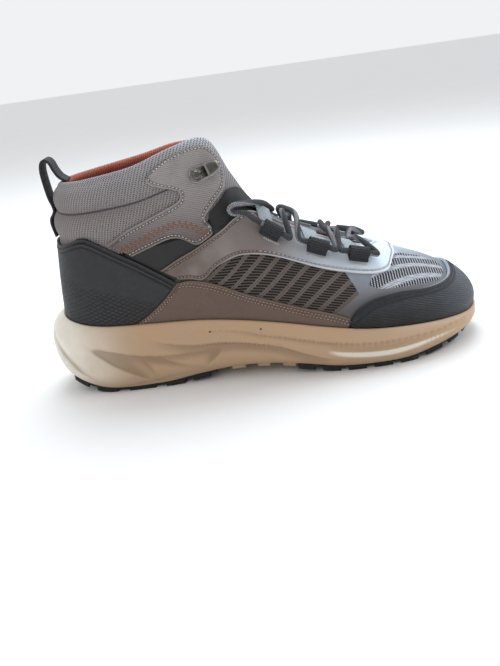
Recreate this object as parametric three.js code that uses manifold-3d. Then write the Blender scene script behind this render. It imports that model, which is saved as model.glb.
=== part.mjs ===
// High-top trail sneaker for the right foot, standing empty on its sole.
// Millimetres. The origin is on the floor under the middle of the heel seat,
// +X runs to the toe, +Z is up and -Y is the outer side of the foot.
import * as THREE from 'three';
import { mergeVertices } from 'three/addons/utils/BufferGeometryUtils.js';
import Module from 'manifold-3d';

const wasm = await Module();
wasm.setup();

// Driving sizes
const soleLength = 302;      // back of the heel to the tip of the toe
const ballWidth = 104;       // widest part of the sole
const heelStack = 55;        // floor to the top of the midsole at the back
const collarHeight = 157;    // floor to the highest point of the collar
const heelSeat = 50;         // back of the sole to the origin

const clearance = 0.3;       // between two pieces that lie on each other
const clothWall = 2.4;       // cloth, foam and lining of the upper
const collarPadding = 4;     // more foam around the ankle
const rollHeight = 2.4;      // how far the two collar rolls stand out
const capThickness = 1.8;    // toe cap and heel counter
const overlayThickness = 1.4; // sewn panels
const patchThickness = 0.9;  // smooth patch over the instep
const tuckShare = 0.3;       // how deep the upper sits in the midsole, share of its height
const tuckIn = 1.2;          // how far the tucked edge leans in
const lipWidth = 1.6;        // rim of the midsole around the upper
const insoleThickness = 4;
const tongueThickness = 4.5;
const rubberSheet = 1.5;     // outsole between its lugs
const lugDepth = 4.2;        // outsole with its lugs
const archLugDepth = 3;
const webbingWidth = 14;     // heel pull loop
const webbingThickness = 1.7;
const keeperWidth = 13;      // lace keeper along the throat
const keeperLength = 3.4;      // sewn end of a lace keeper
const keeperWall = 1.3;
const laceDiameter = 3.8;
const laceRoom = 0.7;        // between the lace and its keeper
const hookWidth = 8;
const hookPlate = 1.1;
const hookLength = 17;
const hookGap = 4.4;         // mouth of the speed hook
const rivetDiameter = 8;
const rivetHeight = 2.6;
const hookReturn = 6.5;      // how far the hook's plate is folded back

// Sections of the upper from heel to toe. x is a share of the length, widths are shares of the
// ball width, foot heights are shares of the heel stack and the others of the collar height.
const sectionColumns = ['name', 'x', 'lateral', 'medial', 'z', 'swellX', 'swellOut', 'swellZ',
  'bendX', 'bendOut', 'bendZ', 'topX', 'topHalf', 'topZ', 'medialDrop'];
const sections = [
  ['heel', 0.048, 0.000, 0.000, 1.000, 0.007, 0.000, 0.178, 0.073, 0.000, 0.764, 0.089, 0.000, 0.892, 0],
  ['quarter', 0.071, 0.202, 0.197, 0.955, 0.007, 0.024, 0.178, 0.093, 0.019, 0.745, 0.106, 0.154, 0.898, 0],
  ['heelSide', 0.139, 0.303, 0.298, 0.891, 0.000, 0.029, 0.191, 0.149, 0.048, 0.742, 0.159, 0.260, 0.908, 0],
  ['ankle', 0.258, 0.322, 0.298, 0.855, 0.000, 0.029, 0.204, 0.265, 0.058, 0.758, 0.265, 0.298, 0.936, 0],
  ['shank', 0.344, 0.332, 0.284, 0.836, 0, 0.038, 0.204, 0.358, 0.077, 0.799, 0.358, 0.274, 0.99, 0.02],
  ['waist', 0.417, 0.351, 0.279, 0.800, 0.000, 0.048, 0.217, 0.430, 0.115, 0.809, 0.430, 0.202, 1.000, 0.046],
  ['instep', 0.483, 0.380, 0.298, 0.755, 0.000, 0.048, 0.204, 0.470, 0.135, 0.739, 0.470, 0.163, 0.854, 0.053],
  ['mid', 0.556, 0.418, 0.346, 0.691, 0.000, 0.038, 0.178, 0.523, 0.144, 0.637, 0.517, 0.163, 0.713, 0.056],
  ['ballBack', 0.636, 0.457, 0.404, 0.609, 0.000, 0.029, 0.153, 0.613, 0.163, 0.535, 0.603, 0.144, 0.586, 0.028],
  ['ball', 0.719, 0.466, 0.442, 0.527, 0.000, 0.029, 0.140, 0.702, 0.173, 0.478, 0.682, 0.115, 0.510, 0.008],
  ['fore', 0.805, 0.428, 0.442, 0.473, 0.000, 0.038, 0.127, 0.778, 0.173, 0.446, 0.725, 0.082, 0.471, 0],
  ['toeCorner', 0.891, 0.327, 0.382, 0.418, 0.013, 0.058, 0.115, 0.834, 0.125, 0.425, 0.742, 0.053, 0.463, 0],
  ['toeSide', 0.957, 0.180, 0.276, 0.382, 0.023, 0.050, 0.108, 0.868, 0.058, 0.409, 0.748, 0.024, 0.460, 0],
  ['toe', 0.987, -0.048, 0.048, 0.364, 0.030, 0.000, 0.108, 0.894, 0.000, 0.401, 0.752, 0.000, 0.459, 0],
].map((row) => Object.fromEntries(row.map((value, i) => [sectionColumns[i], value])));

// The sole at the same sections: its widest line and its bottom edge, as shares of
// length, ball width and heel stack.
const soleColumns = ['x', 'lateral', 'medial', 'z', 'lowX', 'lowLateral', 'lowMedial', 'lowZ'];
const soleRows = [
  [0.000, 0.000, 0.000, 0.618, 0.020, 0.000, 0.000, 0.309],
  [0.030, 0.240, 0.231, 0.582, 0.043, 0.212, 0.202, 0.218],
  [0.119, 0.370, 0.356, 0.509, 0.126, 0.327, 0.317, 0.073],
  [0.245, 0.394, 0.365, 0.491, 0.248, 0.351, 0.327, 0.066],
  [0.338, 0.394, 0.341, 0.509, 0.338, 0.346, 0.298, 0.118],
  [0.417, 0.409, 0.332, 0.527, 0.417, 0.356, 0.288, 0.164],
  [0.490, 0.433, 0.351, 0.491, 0.490, 0.385, 0.308, 0.173],
  [0.563, 0.471, 0.394, 0.418, 0.563, 0.428, 0.356, 0.145],
  [0.642, 0.505, 0.452, 0.345, 0.642, 0.466, 0.413, 0.087],
  [0.725, 0.514, 0.490, 0.291, 0.725, 0.481, 0.452, 0.070],
  [0.815, 0.481, 0.486, 0.273, 0.811, 0.452, 0.452, 0.076],
  [0.911, 0.368, 0.424, 0.270, 0.898, 0.338, 0.394, 0.133],
  [0.971, 0.202, 0.298, 0.270, 0.956, 0.180, 0.268, 0.195],
  [1.000, -0.048, 0.048, 0.265, 0.986, -0.048, 0.048, 0.245],
].map((row) => Object.fromEntries(row.map((value, i) => [soleColumns[i], value])));

const toeSection = sections.length - 1;
const ringLength = 2 * toeSection;

// Section number on one side for a place u around the shoe, which runs from the heel along the
// outer side to the toe and back along the inner side.
const sideStation = (u) => {
  const turn = ((u % ringLength) + ringLength) % ringLength;
  return Math.min(turn, ringLength - turn);
};
const mirrored = (u) => ringLength - u;
const smoothStep = (value, from, to) => {
  const t = THREE.MathUtils.clamp((value - from) / (to - from), 0, 1);
  return t * t * (3 - 2 * t);
};

// Four control points of each section of the upper, around the ring.
function sectionControls(row, side) {
  const place = (x, y, z) => new THREE.Vector3(x * soleLength - heelSeat, side * y * ballWidth, z);
  const width = side < 0 ? row.lateral : row.medial;
  const drop = side < 0 ? 0 : row.medialDrop;
  const foot = row.z * heelStack;
  return [
    place(row.x, width, foot),
    place(row.x + row.swellX, width + row.swellOut, foot + row.swellZ * collarHeight),
    place(row.bendX, row.topHalf + row.bendOut, (row.bendZ - drop) * collarHeight),
    place(row.topX, row.topHalf, (row.topZ - drop) * collarHeight),
  ];
}

// Points of one row of a table around the whole shoe: outer side first, then back on the inner.
const aroundShoe = (rows, pointOf) => Array.from({ length: ringLength }, (_, k) => (
  k <= toeSection ? pointOf(rows[k], -1) : pointOf(rows[ringLength - k], 1)));

const upperControls = aroundShoe(sections, sectionControls);
const soleAt = (row, side, x, lateral, medial, z) => new THREE.Vector3(
  row[x] * soleLength - heelSeat,
  side * (side < 0 ? row[lateral] : row[medial]) * ballWidth,
  row[z] * heelStack,
);
const widestLine = aroundShoe(soleRows, (row, side) => soleAt(row, side, 'x', 'lateral', 'medial', 'z'));
const bottomLine = aroundShoe(soleRows,
  (row, side) => soleAt(row, side, 'lowX', 'lowLateral', 'lowMedial', 'lowZ'));

// A smooth closed curve through a ring of points.
function ringPoint(ring, u) {
  const count = ring.length;
  const turn = ((u % count) + count) % count;
  const at = (k) => ring[((Math.floor(turn) + k) % count + count) % count];
  const t = turn - Math.floor(turn);
  const weights = [
    (-t + 2 * t * t - t ** 3) / 2, (2 - 5 * t * t + 3 * t ** 3) / 2,
    (t + 4 * t * t - 3 * t ** 3) / 2, (-t * t + t ** 3) / 2,
  ];
  return weights.reduce((sum, weight, k) => sum.addScaledVector(at(k - 1), weight), new THREE.Vector3());
}

// The last's surface: u around the shoe, v from the top of the midsole, 0, to the top edge, 1.
function lastPoint(u, v) {
  const w = 1 - v;
  const shares = [w ** 3, 3 * w * w * v, 3 * w * v * v, v ** 3];
  return shares.reduce((sum, share, k) => (
    sum.addScaledVector(ringPoint(upperControls.map((four) => four[k]), u), share)), new THREE.Vector3());
}

function lastNormal(u, v) {
  const step = 0.004;
  const low = Math.max(v - step, 0);
  const high = Math.min(v + step, 1);
  const along = lastPoint(u + step, v).sub(lastPoint(u - step, v));
  const up = lastPoint(u, high).sub(lastPoint(u, low));
  return along.cross(up).normalize();
}

// Two soft rolls around the back of the collar, which end under the ankle panels.
const rollEdges = [0.6, 0.785, 0.99];
const rollEnd = 3.3;
function rollAt(u, v) {
  if (v <= rollEdges[0] || v >= rollEdges[2]) return 0;
  const [low, high] = v < rollEdges[1] ? [rollEdges[0], rollEdges[1]] : [rollEdges[1], rollEdges[2]];
  const fade = 1 - smoothStep(sideStation(u), rollEnd - 0.8, rollEnd);
  return rollHeight * fade * Math.sin(Math.PI * (v - low) / (high - low));
}

// A point on the upper's outside, or at an offset from it. Below 0, v runs down to -1 where the
// upper is tucked into the midsole, and offsets are level there.
function skin(u, v, offset = 0) {
  const normal = lastNormal(u, Math.max(v, 0));
  normal.setZ(normal.z * smoothStep(v, 0, 0.17)).normalize();
  const point = lastPoint(u, Math.max(v, 0));
  if (v < 0) {
    point.addScaledVector(normal, v * tuckIn);
    point.z += v * tuckShare * point.z;
  }
  return point.addScaledVector(normal, offset + rollAt(u, v));
}

// The wall is thicker where the collar is padded.
const wallAt = (u, v) => clothWall + collarPadding
  * smoothStep(v, 0.5, 0.68) * (1 - smoothStep(sideStation(u), 4.4, 6));

// Solids

function solidFrom(points, faces) {
  const geometry = new THREE.BufferGeometry().setFromPoints(points);
  geometry.setIndex(faces.flat());
  return solidOf(geometry);
}

function solidOf(geometry) {
  geometry.deleteAttribute('normal');
  geometry.deleteAttribute('uv');
  const merged = mergeVertices(geometry, 1e-4);
  const vertProperties = new Float32Array(merged.attributes.position.array);
  const corners = merged.index.array;
  const corner = (k) => new THREE.Vector3().fromArray(vertProperties, 3 * k);
  const triangles = [];
  let volume = 0;
  for (let k = 0; k < corners.length; k += 3) {
    const [a, b, c] = [corners[k], corners[k + 1], corners[k + 2]];
    if (a === b || b === c || c === a) continue;
    triangles.push([a, b, c]);
    volume += corner(a).dot(corner(b).cross(corner(c)));
  }
  const outward = volume > 0 ? triangles : triangles.map(([a, b, c]) => [a, c, b]);
  const triVerts = new Uint32Array(outward.flat());
  return new wasm.Manifold(new wasm.Mesh({ numProp: 3, vertProperties, triVerts }));
}

// Joins equal loops of points into one closed skin. Loops that wrap join the last to the first;
// with caps, each end is closed by quads across the loop. The first points of a loop, front in
// number, are its outside: past them the quads are split the other way, so that the two faces
// of a wall and the layers on it stay parallel.
function loft(loops, { wrap = false, caps = false, front = loops[0].length / 2 } = {}) {
  const size = loops[0].length;
  const faces = [];
  const quad = (a, b, c, d, turned = false) => faces.push(
    ...(turned ? [[a, b, d], [b, c, d]] : [[a, b, c], [a, c, d]]));
  const turns = wrap ? loops.length : loops.length - 1;
  for (let i = 0; i < turns; i += 1) {
    const next = (i + 1) % loops.length;
    for (let j = 0; j < size; j += 1) {
      const after = (j + 1) % size;
      quad(i * size + j, next * size + j, next * size + after, i * size + after, j >= front);
    }
  }
  if (caps) {
    const last = (loops.length - 1) * size;
    for (let j = 0; j < size / 2 - 1; j += 1) {
      const [k, m] = [size - 1 - j, size - 2 - j];
      quad(j, j + 1, m, k);
      quad(last + k, last + m, last + j + 1, last + j);
    }
  }
  return solidFrom(loops.flat(), faces);
}

const mix = (a, b, share) => a.clone().lerp(b, share);
const spread = (count) => Array.from({ length: count }, (_, k) => k / (count - 1));

// Places around the ring: more where the heel and the toe turn.
const sectionParts = [3, 2, 1, 1, 2, 2, 2, 2, 2, 2, 2, 2, 3];
const sideStops = sections.slice(1).flatMap((_, k) => {
  const parts = sectionParts[k];
  return Array.from({ length: parts }, (__, j) => k + j / parts);
});
const ringStops = [...sideStops, toeSection, ...sideStops.slice(1).reverse().map(mirrored)];
const outerRows = [-1, -0.3, 0, 0.17, 0.34, 0.5, 0.6, 0.69, 0.785, 0.89, 1];
const innerRows = [1, 0.89, 0.785, 0.6, 0.4, 0.2, 0, -1];

// Upper: one hollow wall, open at the collar and throat and underneath.
const rimRise = 0.3;         // roundness of its top edge, share of the wall
function makeUpper() {
  return loft(ringStops.map((u) => {
    const rimUp = lastPoint(u, 1).sub(lastPoint(u, 0.97)).setLength(wallAt(u, 1) * rimRise);
    const rim = skin(u, 1, -wallAt(u, 1) / 2).add(rimUp);
    return [...outerRows.map((v) => skin(u, v)), rim, ...innerRows.map((v) => skin(u, v, -wallAt(u, v)))];
  }), { wrap: true, front: outerRows.length });
}

// The layer of one thickness that lies on the upper, before its outline is cut.
const layers = new Map();
function layer(thickness) {
  if (!layers.has(thickness)) {
    const rows = outerRows.filter((v) => v > -1);
    layers.set(thickness, loft(ringStops.map((u) => [
      ...rows.map((v) => skin(u, v, clearance + thickness)),
      ...rows.toReversed().map((v) => skin(u, v, clearance)),
    ]), { wrap: true }));
  }
  return layers.get(thickness);
}

// An outline on the upper is a table of cross lines: u and v on its lower or front edge, then
// u and v on its upper or back edge.
const cutterReach = 2;       // how far a cutter stands past the layer that it cuts
const panelRows = 5;
function panel(outline, thickness, columns = outline.length) {
  const low = new THREE.SplineCurve(outline.map(([u, v]) => new THREE.Vector2(u, v)));
  const high = new THREE.SplineCurve(outline.map(([, , u, v]) => new THREE.Vector2(u, v)));
  const reach = cutterReach + thickness;
  const loops = spread(columns).map((t) => {
    const line = spread(panelRows).map((share) => low.getPoint(t).lerp(high.getPoint(t), share));
    return [
      ...line.map(({ x, y }) => skin(x, y, reach)),
      ...line.toReversed().map(({ x, y }) => skin(x, y, -reach)),
    ];
  });
  return layer(thickness).intersect(loft(loops, { caps: true }));
}

const otherSide = (outline) => outline.map(([a, b, c, d]) => [mirrored(a), b, mirrored(c), d]);
// An outline that runs on around the heel, section 0, or around the toe.
const bothSides = (outline, middle) => [...outline, ...outline.slice(0, -1).reverse()
  .map(([a, b, c, d]) => [2 * middle - a, b, 2 * middle - c, d])];
const belowLip = -0.4;

const heelCounterOutline = [
  [0.98, belowLip, 3.66, 0.262], [0.94, belowLip, 3.15, 0.359], [0.88, belowLip, 2.73, 0.452],
  [0.8, belowLip, 2.35, 0.546], [0.7, belowLip, 2.08, 0.6], [0.6, belowLip, 1.8, 0.61],
  [0.35, belowLip, 0.98, 0.56], [0, belowLip, 0, 0.545],
];
const toeCapOutline = [
  [8.3, belowLip, 8.6, 0.1], [8.75, belowLip, 8.8, 0.18], [9.3, belowLip, 9.25, 0.285],
  [10, belowLip, 10, 0.348], [11, belowLip, 11, 0.38], [12, belowLip, 12, 0.437],
  [13, belowLip, 13, 0.52],
];
const stripOutline = [
  [1.03, belowLip, 3.7, 0.25], [2.2, belowLip, 4.05, 0.259], [3.3, belowLip, 4.45, 0.242],
  [4.3, belowLip, 5, 0.21], [5.4, belowLip, 5.73, 0.176], [6.8, belowLip, 7.12, 0.143],
  [7.7, belowLip, 8.05, 0.124], [8.25, belowLip, 8.54, 0.09],
];
const eyestayOutline = [
  [3.79, 0.276, 3.34, 0.345], [4.12, 0.268, 3.8, 0.392], [4.45, 0.256, 4.35, 0.434],
  [4.83, 0.312, 4.8, 0.474], [5.3, 0.362, 5.2, 0.52], [5.78, 0.409, 5.62, 0.595],
  [6.3, 0.452, 6.05, 0.683], [6.7, 0.488, 6.4, 0.765], [7.05, 0.512, 6.75, 0.835],
  [7.5, 0.53, 7.2, 0.9], [8.1, 0.535, 7.9, 0.95], [8.73, 0.535, 8.6, 0.965],
  [9.5, 0.54, 9.4, 0.965], [9.98, 0.575, 10, 0.965], [10.25, 0.64, 10.6, 0.965],
  [10.6, 0.715, 11.2, 0.965], [11.3, 0.79, 11.8, 0.965], [12.2, 0.84, 12.4, 0.965],
  [13, 0.86, 13, 0.965],
];
const ankleOutline = [
  [2.8, 0.463, 2.42, 0.557], [3.1, 0.49, 2.8, 0.628], [3.6, 0.515, 3.2, 0.662],
  [3.95, 0.502, 3.6, 0.68], [4.35, 0.452, 3.85, 0.69], [4.7, 0.474, 3.97, 0.7],
  [4.86, 0.5, 4.03, 0.711], [4.7, 0.548, 4.05, 0.72], [4.68, 0.585, 4.05, 0.73],
  [4.93, 0.639, 4.04, 0.74], [5.4, 0.751, 4, 0.755], [5.5, 0.85, 3.9, 0.77],
  [5.42, 0.91, 3.75, 0.79], [5, 0.95, 3.55, 0.82], [4.33, 0.965, 3.42, 0.845],
  [3.8, 0.953, 3.34, 0.868], [3.4, 0.925, 3.3, 0.893],
];
const patchOutline = [
  [5.02, 0.522, 4.8, 0.56], [5.3, 0.553, 4.8, 0.592], [5.55, 0.612, 5.04, 0.64],
  [5.8, 0.668, 5.32, 0.7], [6.02, 0.715, 5.5, 0.755], [6.3, 0.785, 5.78, 0.825],
  [6.52, 0.83, 6.1, 0.9], [6.75, 0.875, 6.4, 0.955], [7, 0.915, 6.85, 0.975],
];

// Sole

const inwardLip = 2 * clearance + capThickness;

// Long creases pressed into the side of the midsole: places along each one, as a section and a
// height there, a share of the wall.
const creaseDepth = 1.8;
const creaseHalfWidth = 0.1;
const creases = [
  [[0.4, 0.72], [1.32, 0.34], [2, 0.08]],
  [[1.86, 0.61], [2.85, 0.13]],
  [[2.8, 0.76], [3.9, 0.52], [6.5, 0.42], [8, 0.26]],
  [[3.7, 0.78], [5.9, 0.64], [8.1, 0.58], [9.8, 0.64], [12, 0.74]],
];
function creaseAt(station, height) {
  return creases.reduce((depth, line) => {
    const next = line.findIndex(([place]) => station < place);
    if (next < 1) return depth;
    const [[from, heightFrom], [to, heightTo]] = [line[next - 1], line[next]];
    const centre = THREE.MathUtils.mapLinear(station, from, to, heightFrom, heightTo);
    const share = THREE.MathUtils.inverseLerp(line[0][0], line.at(-1)[0], station);
    const ends = Math.min(1, 4 * share, 4 * (1 - share));
    return depth + creaseDepth * ends * Math.max(0, 1 - Math.abs(height - centre) / creaseHalfWidth);
  }, 0);
}

const lipTop = (u) => skin(u, 0, inwardLip);
function lipOutside(u) {
  const normal = lastNormal(u, 0).setZ(0).normalize();
  return lipTop(u).addScaledVector(normal, lipWidth).add(new THREE.Vector3(0, 0, -lipWidth / 2));
}

// The outer wall of the midsole: height 0 at the bottom edge, 1 at its rim.
function soleWall(u, height) {
  const low = ringPoint(bottomLine, u);
  const wide = ringPoint(widestLine, u);
  const top = lipOutside(u);
  const [from, to, pull] = height < 0.5 ? [low, wide, 0.25] : [wide, top, 0.7];
  const elbow = wide.clone().setZ(THREE.MathUtils.lerp(from.z, to.z, pull));
  const t = height < 0.5 ? 2 * height : 2 * height - 1;
  const point = mix(mix(from, elbow, t), mix(elbow, to, t), t);
  const outward = lastNormal(u, 0).setZ(0).normalize();
  return point.addScaledVector(outward, -creaseAt(sideStation(u), height));
}

const wallRows = [1, 0.9, 0.8, 0.7, 0.6, 0.5, 0.4, 0.3, 0.2, 0.09, 0];
const footbedGap = 2 * clearance;
function footbedEdge(u) {
  const edge = skin(u, -1, inwardLip);
  edge.z -= footbedGap;
  return edge;
}

// Underside of the midsole between its two bottom edges; side runs from -1 to 1.
function underside(station, side, drop) {
  const lateral = ringPoint(bottomLine, station);
  const medial = ringPoint(bottomLine, mirrored(station));
  const point = mix(lateral, medial, (side + 1) / 2);
  point.z -= drop;
  return point;
}

// A block under the sole between two sections and two side places.
const underBlock = ([from, to], [left, right], top, bottom, slant = 0) => loft([from, to].map((station) => {
  const sides = [left, (left + right) / 2, right];
  const at = (side) => station - slant * Math.abs(side);
  return [
    ...sides.map((side) => underside(at(side), side, top)),
    ...sides.toReversed().map((side) => underside(at(side), side, bottom)),
  ];
}), { caps: true });

const archLugs = [[4.92, 5.36], [6.5, 6.92]];
function makeMidsole() {
  const stops = [...sideStops, toeSection];
  const body = loft(stops.map((station) => {
    const [outer, inner] = [station, mirrored(station)];
    const [left, right] = [footbedEdge(outer), footbedEdge(inner)];
    return [
      ...wallRows.map((height) => soleWall(outer, height)),
      underside(station, 0, 0),
      ...wallRows.toReversed().map((height) => soleWall(inner, height)),
      lipTop(inner), right, mix(left, right, 0.5), left,
      lipTop(outer),
    ];
  }));
  return archLugs.reduce((sum, span) => (
    sum.add(underBlock(span, [-0.96, 0.96], -rubberSheet, archLugDepth))), body);
}

// Rubber with lugs, cut level where the shoe stands.
function makeOutsole([from, to], rowCount, slant, edge) {
  const steps = sideStops.filter((station) => station >= from && station <= to);
  const sides = [-edge, 0, edge];
  const sheet = loft(steps.map((station) => [
    ...sides.map((side) => underside(station, side, clearance)),
    ...sides.toReversed().map((side) => underside(station, side, clearance + rubberSheet)),
  ]), { caps: true });
  const pitch = (to - from) / rowCount;
  const lugShare = 0.72;
  const columns = [[-edge, -0.42], [-0.3, 0.3], [0.42, edge]];
  const lugs = Array.from({ length: rowCount }, (_, row) => {
    const start = from + pitch * (row + (1 - lugShare) / 2);
    return columns.map((column, k) => underBlock(
      [start, start + lugShare * pitch], column, rubberSheet, clearance + lugDepth, k === 1 ? 0 : slant));
  }).flat();
  const floor = solidOf(new THREE.BoxGeometry(2 * soleLength, 2 * ballWidth, heelStack)
    .translate(0, 0, -heelStack / 2));
  return lugs.reduce((sum, lug) => sum.add(lug), sheet).subtract(floor);
}

function makeInsole() {
  const inset = -(clothWall + 2 * clearance);
  return loft([...sideStops, toeSection].map((station) => {
    const [left, right] = [skin(station, -1, inset), skin(mirrored(station), -1, inset)];
    const line = [0, 0.5, 1].map((share) => mix(left, right, share));
    const raise = (points, height) => points.map((p) => p.clone().add(new THREE.Vector3(0, 0, height)));
    const rest = clearance;
    return [...raise(line, rest), ...raise(line, rest + insoleThickness).reverse()];
  }));
}

// Tongue: under the edges of the throat, arched across it.
const tongueEdges = [0.785, 0.89, 1];
const tongueCrown = -0.03;   // height of its arch, share of the throat's width
const tongueTopRise = 16;    // its rounded top over the last line
const tongueStops = [11, 10.5, 10, 9.5, 9, 8.5, 8, 7.5, 7, 6.5, 6, 5.5];
function tongueLine(station) {
  const under = (u, v) => skin(u, v, -wallAt(u, v) - 4 * clearance);
  const left = tongueEdges.map((v) => under(station, v));
  const right = tongueEdges.map((v) => under(mirrored(station), v));
  const [a, b] = [left.at(-1), right.at(-1)];
  const up = lastNormal(station, 1).add(lastNormal(mirrored(station), 1)).setY(0).normalize();
  const crown = mix(a, b, 0.5).addScaledVector(up, tongueCrown * a.distanceTo(b));
  const arch = (share) => mix(mix(a, crown, share), mix(crown, b, share), share);
  return [...left, arch(0.25), arch(0.5), arch(0.75), ...right.reverse()];
}

function tongueLines() {
  const lines = tongueStops.map(tongueLine);
  const last = lines.at(-1);
  const before = lines.at(-2);
  const topLine = last.map((point, k) => {
    const onward = point.clone().sub(before[k]).setLength(tongueTopRise);
    const shape = Math.sin(Math.PI * k / (last.length - 1)) ** 3;
    return point.clone().addScaledVector(onward, shape);
  });
  return [...lines, topLine];
}
function makeTongue() {
  const lines = tongueLines();
  const normalAt = (i, j) => {
    const [i0, i1] = [Math.max(i - 1, 0), Math.min(i + 1, lines.length - 1)];
    const [j0, j1] = [Math.max(j - 1, 0), Math.min(j + 1, lines[0].length - 1)];
    const along = lines[i1][j].clone().sub(lines[i0][j]);
    const across = lines[i][j1].clone().sub(lines[i][j0]);
    return along.cross(across).normalize();
  };
  return loft(lines.map((line, i) => [
    ...line,
    ...line.map((point, j) => point.clone().addScaledVector(normalAt(i, j), tongueThickness)).reverse(),
  ]), { caps: true });
}

// A frame that stands on the upper at u, v: one axis along the shoe, one up the side, one out.
function frameAt(u, v, offset) {
  const out = lastNormal(u, v);
  const step = 0.01;
  const along = lastPoint(u + step, v).sub(lastPoint(u - step, v));
  along.addScaledVector(out, -along.dot(out)).normalize();
  const up = new THREE.Vector3().crossVectors(out, along);
  return new THREE.Matrix4().makeBasis(along, up, out).setPosition(skin(u, v, offset));
}

// The lift that a flat piece needs to clear the surface under it.
function liftOver(frame, u, v, offset, halfLong, halfHigh) {
  const back = frame.clone().invert();
  const reachU = halfLong / lastPoint(u + 0.5, v).distanceTo(lastPoint(u - 0.5, v));
  const reachV = halfHigh / (10 * lastPoint(u, v + 0.05).distanceTo(lastPoint(u, v - 0.05)));
  const heights = [-1, 0, 1].flatMap((a) => [-1, 0, 1].map((b) => (
    skin(u + a * reachU, v + b * reachV, offset).applyMatrix4(back).z)));
  return Math.max(...heights) + 2 * clearance;
}

// A flat outline in the frame's up and out axes, as wide as given along the shoe.
const extrudeAlong = (shape, width) => {
  const geometry = new THREE.ExtrudeGeometry(shape, { depth: width, bevelEnabled: false, curveSegments: 6 });
  geometry.applyMatrix4(new THREE.Matrix4().makeBasis(
    new THREE.Vector3(0, 1, 0), new THREE.Vector3(0, 0, 1), new THREE.Vector3(1, 0, 0)));
  return geometry.translate(-width / 2, 0, 0);
};

// Lace keepers: the sewn end of a webbing loop and the loop that holds the lace.
const keeperPlaces = [[7.02, 0.685], [8.13, 0.7], [9.2, 0.69]];
const loopInside = laceDiameter / 2 + laceRoom;
const loopOutside = loopInside + keeperWall;
function keeperShape() {
  const shape = new THREE.Shape();
  shape.moveTo(-keeperLength, 0);
  shape.lineTo(loopOutside / 2, 0);
  shape.absarc(loopOutside / 2, loopOutside, loopOutside, -Math.PI / 2, Math.PI * 0.72, false);
  shape.lineTo(-keeperLength, 2 * keeperWall);
  shape.closePath();
  const hole = new THREE.Path();
  hole.absarc(loopOutside / 2, loopOutside, loopInside, 0, 2 * Math.PI, true);
  shape.holes.push(hole);
  return shape;
}
function keeperFrame(index, side) {
  const [station, v] = keeperPlaces[index];
  const u = side < 0 ? station : mirrored(station);
  const offset = clearance + overlayThickness;
  const frame = frameAt(u, v, offset);
  const lift = liftOver(frame, u, v, offset, keeperWidth / 2, keeperLength);
  return frame.multiply(new THREE.Matrix4().makeTranslation(0, 0, lift));
}
const makeKeeper = (index, side) => solidOf(
  extrudeAlong(keeperShape(), keeperWidth).applyMatrix4(keeperFrame(index, side)));

// Speed hooks: a plate folded back over the lace, held by a domed rivet.
const hookPlace = [4.68, 0.81];
const hookTurn = 0.25;
function hookFrame(side) {
  const [station, v] = hookPlace;
  const u = side < 0 ? station : mirrored(station);
  const offset = clearance + overlayThickness;
  const frame = frameAt(u, v, offset);
  const lift = liftOver(frame, u, v, offset, hookLength / 2, hookWidth / 2);
  return frame.multiply(new THREE.Matrix4().makeTranslation(0, 0, lift))
    .multiply(new THREE.Matrix4().makeRotationZ((side < 0 ? 1 : -1) * (hookTurn - Math.PI / 2)));
}
function makeHook(side) {
  const shape = new THREE.Shape();
  const outerBend = hookGap / 2 + hookPlate;
  const front = hookLength / 2;
  shape.moveTo(-front, 0);
  shape.lineTo(front, 0);
  shape.absarc(front, outerBend, outerBend, -Math.PI / 2, Math.PI / 2, false);
  shape.lineTo(front - hookReturn, 2 * outerBend);
  shape.lineTo(front - hookReturn, 2 * outerBend - hookPlate);
  shape.lineTo(front, 2 * outerBend - hookPlate);
  shape.absarc(front, outerBend, hookGap / 2, Math.PI / 2, -Math.PI / 2, true);
  shape.lineTo(-front, hookPlate);
  shape.closePath();
  return solidOf(extrudeAlong(shape, hookWidth).applyMatrix4(hookFrame(side)));
}
function makeRivet(side) {
  const radius = rivetDiameter / 2;
  const dome = spread(5).map((t) => new THREE.Vector2(
    radius * Math.cos(t * Math.PI / 2), rivetHeight * (0.35 + 0.65 * Math.sin(t * Math.PI / 2))));
  const profile = [new THREE.Vector2(0, 0), new THREE.Vector2(radius, 0), ...dome];
  profile.at(-1).setX(0);
  const geometry = new THREE.LatheGeometry(profile, 12).rotateX(Math.PI / 2)
    .translate(0, rivetDiameter / 2 + clearance - hookLength / 2, hookPlate + clearance);
  return solidOf(geometry.applyMatrix4(hookFrame(side)));
}

// A round cord along points.
const laceSides = 8;
const crossingSides = 6;
function cord(points, steps, sides = laceSides) {
  const ring = spread(sides + 1).slice(0, sides).map((t) => new THREE.Vector2(
    Math.cos(2 * Math.PI * t), Math.sin(2 * Math.PI * t)).multiplyScalar(laceDiameter / 2));
  return solidOf(new THREE.ExtrudeGeometry(new THREE.Shape(ring), {
    steps, bevelEnabled: false, extrudePath: new THREE.CatmullRomCurve3(points, false, 'centripetal'),
  }));
}

// A place on the axis of a keeper's loop, so many mm past its middle towards the toe.
const onAxis = (index, side, toToe) => new THREE.Vector3(
  side < 0 ? toToe : -toToe, loopOutside / 2, loopOutside).applyMatrix4(keeperFrame(index, side));
const straightHalf = keeperWidth / 2 + 1.6 * laceDiameter;
const throatEdge = 0.95;
const overEdge = (station, side, lift) => skin(
  side < 0 ? station : mirrored(station), throatEdge, clearance + overlayThickness + lift);
function overCrown(station, lift) {
  const line = tongueLine(station);
  const up = lastNormal(station, 1).add(lastNormal(mirrored(station), 1)).setY(0).normalize();
  return line[(line.length - 1) / 2].clone().addScaledVector(up, laceDiameter / 2 + lift);
}
const laceRise = laceDiameter / 2 + 2 * clearance;
const laceEnd = keeperWidth / 2 + laceDiameter / 2;
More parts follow.
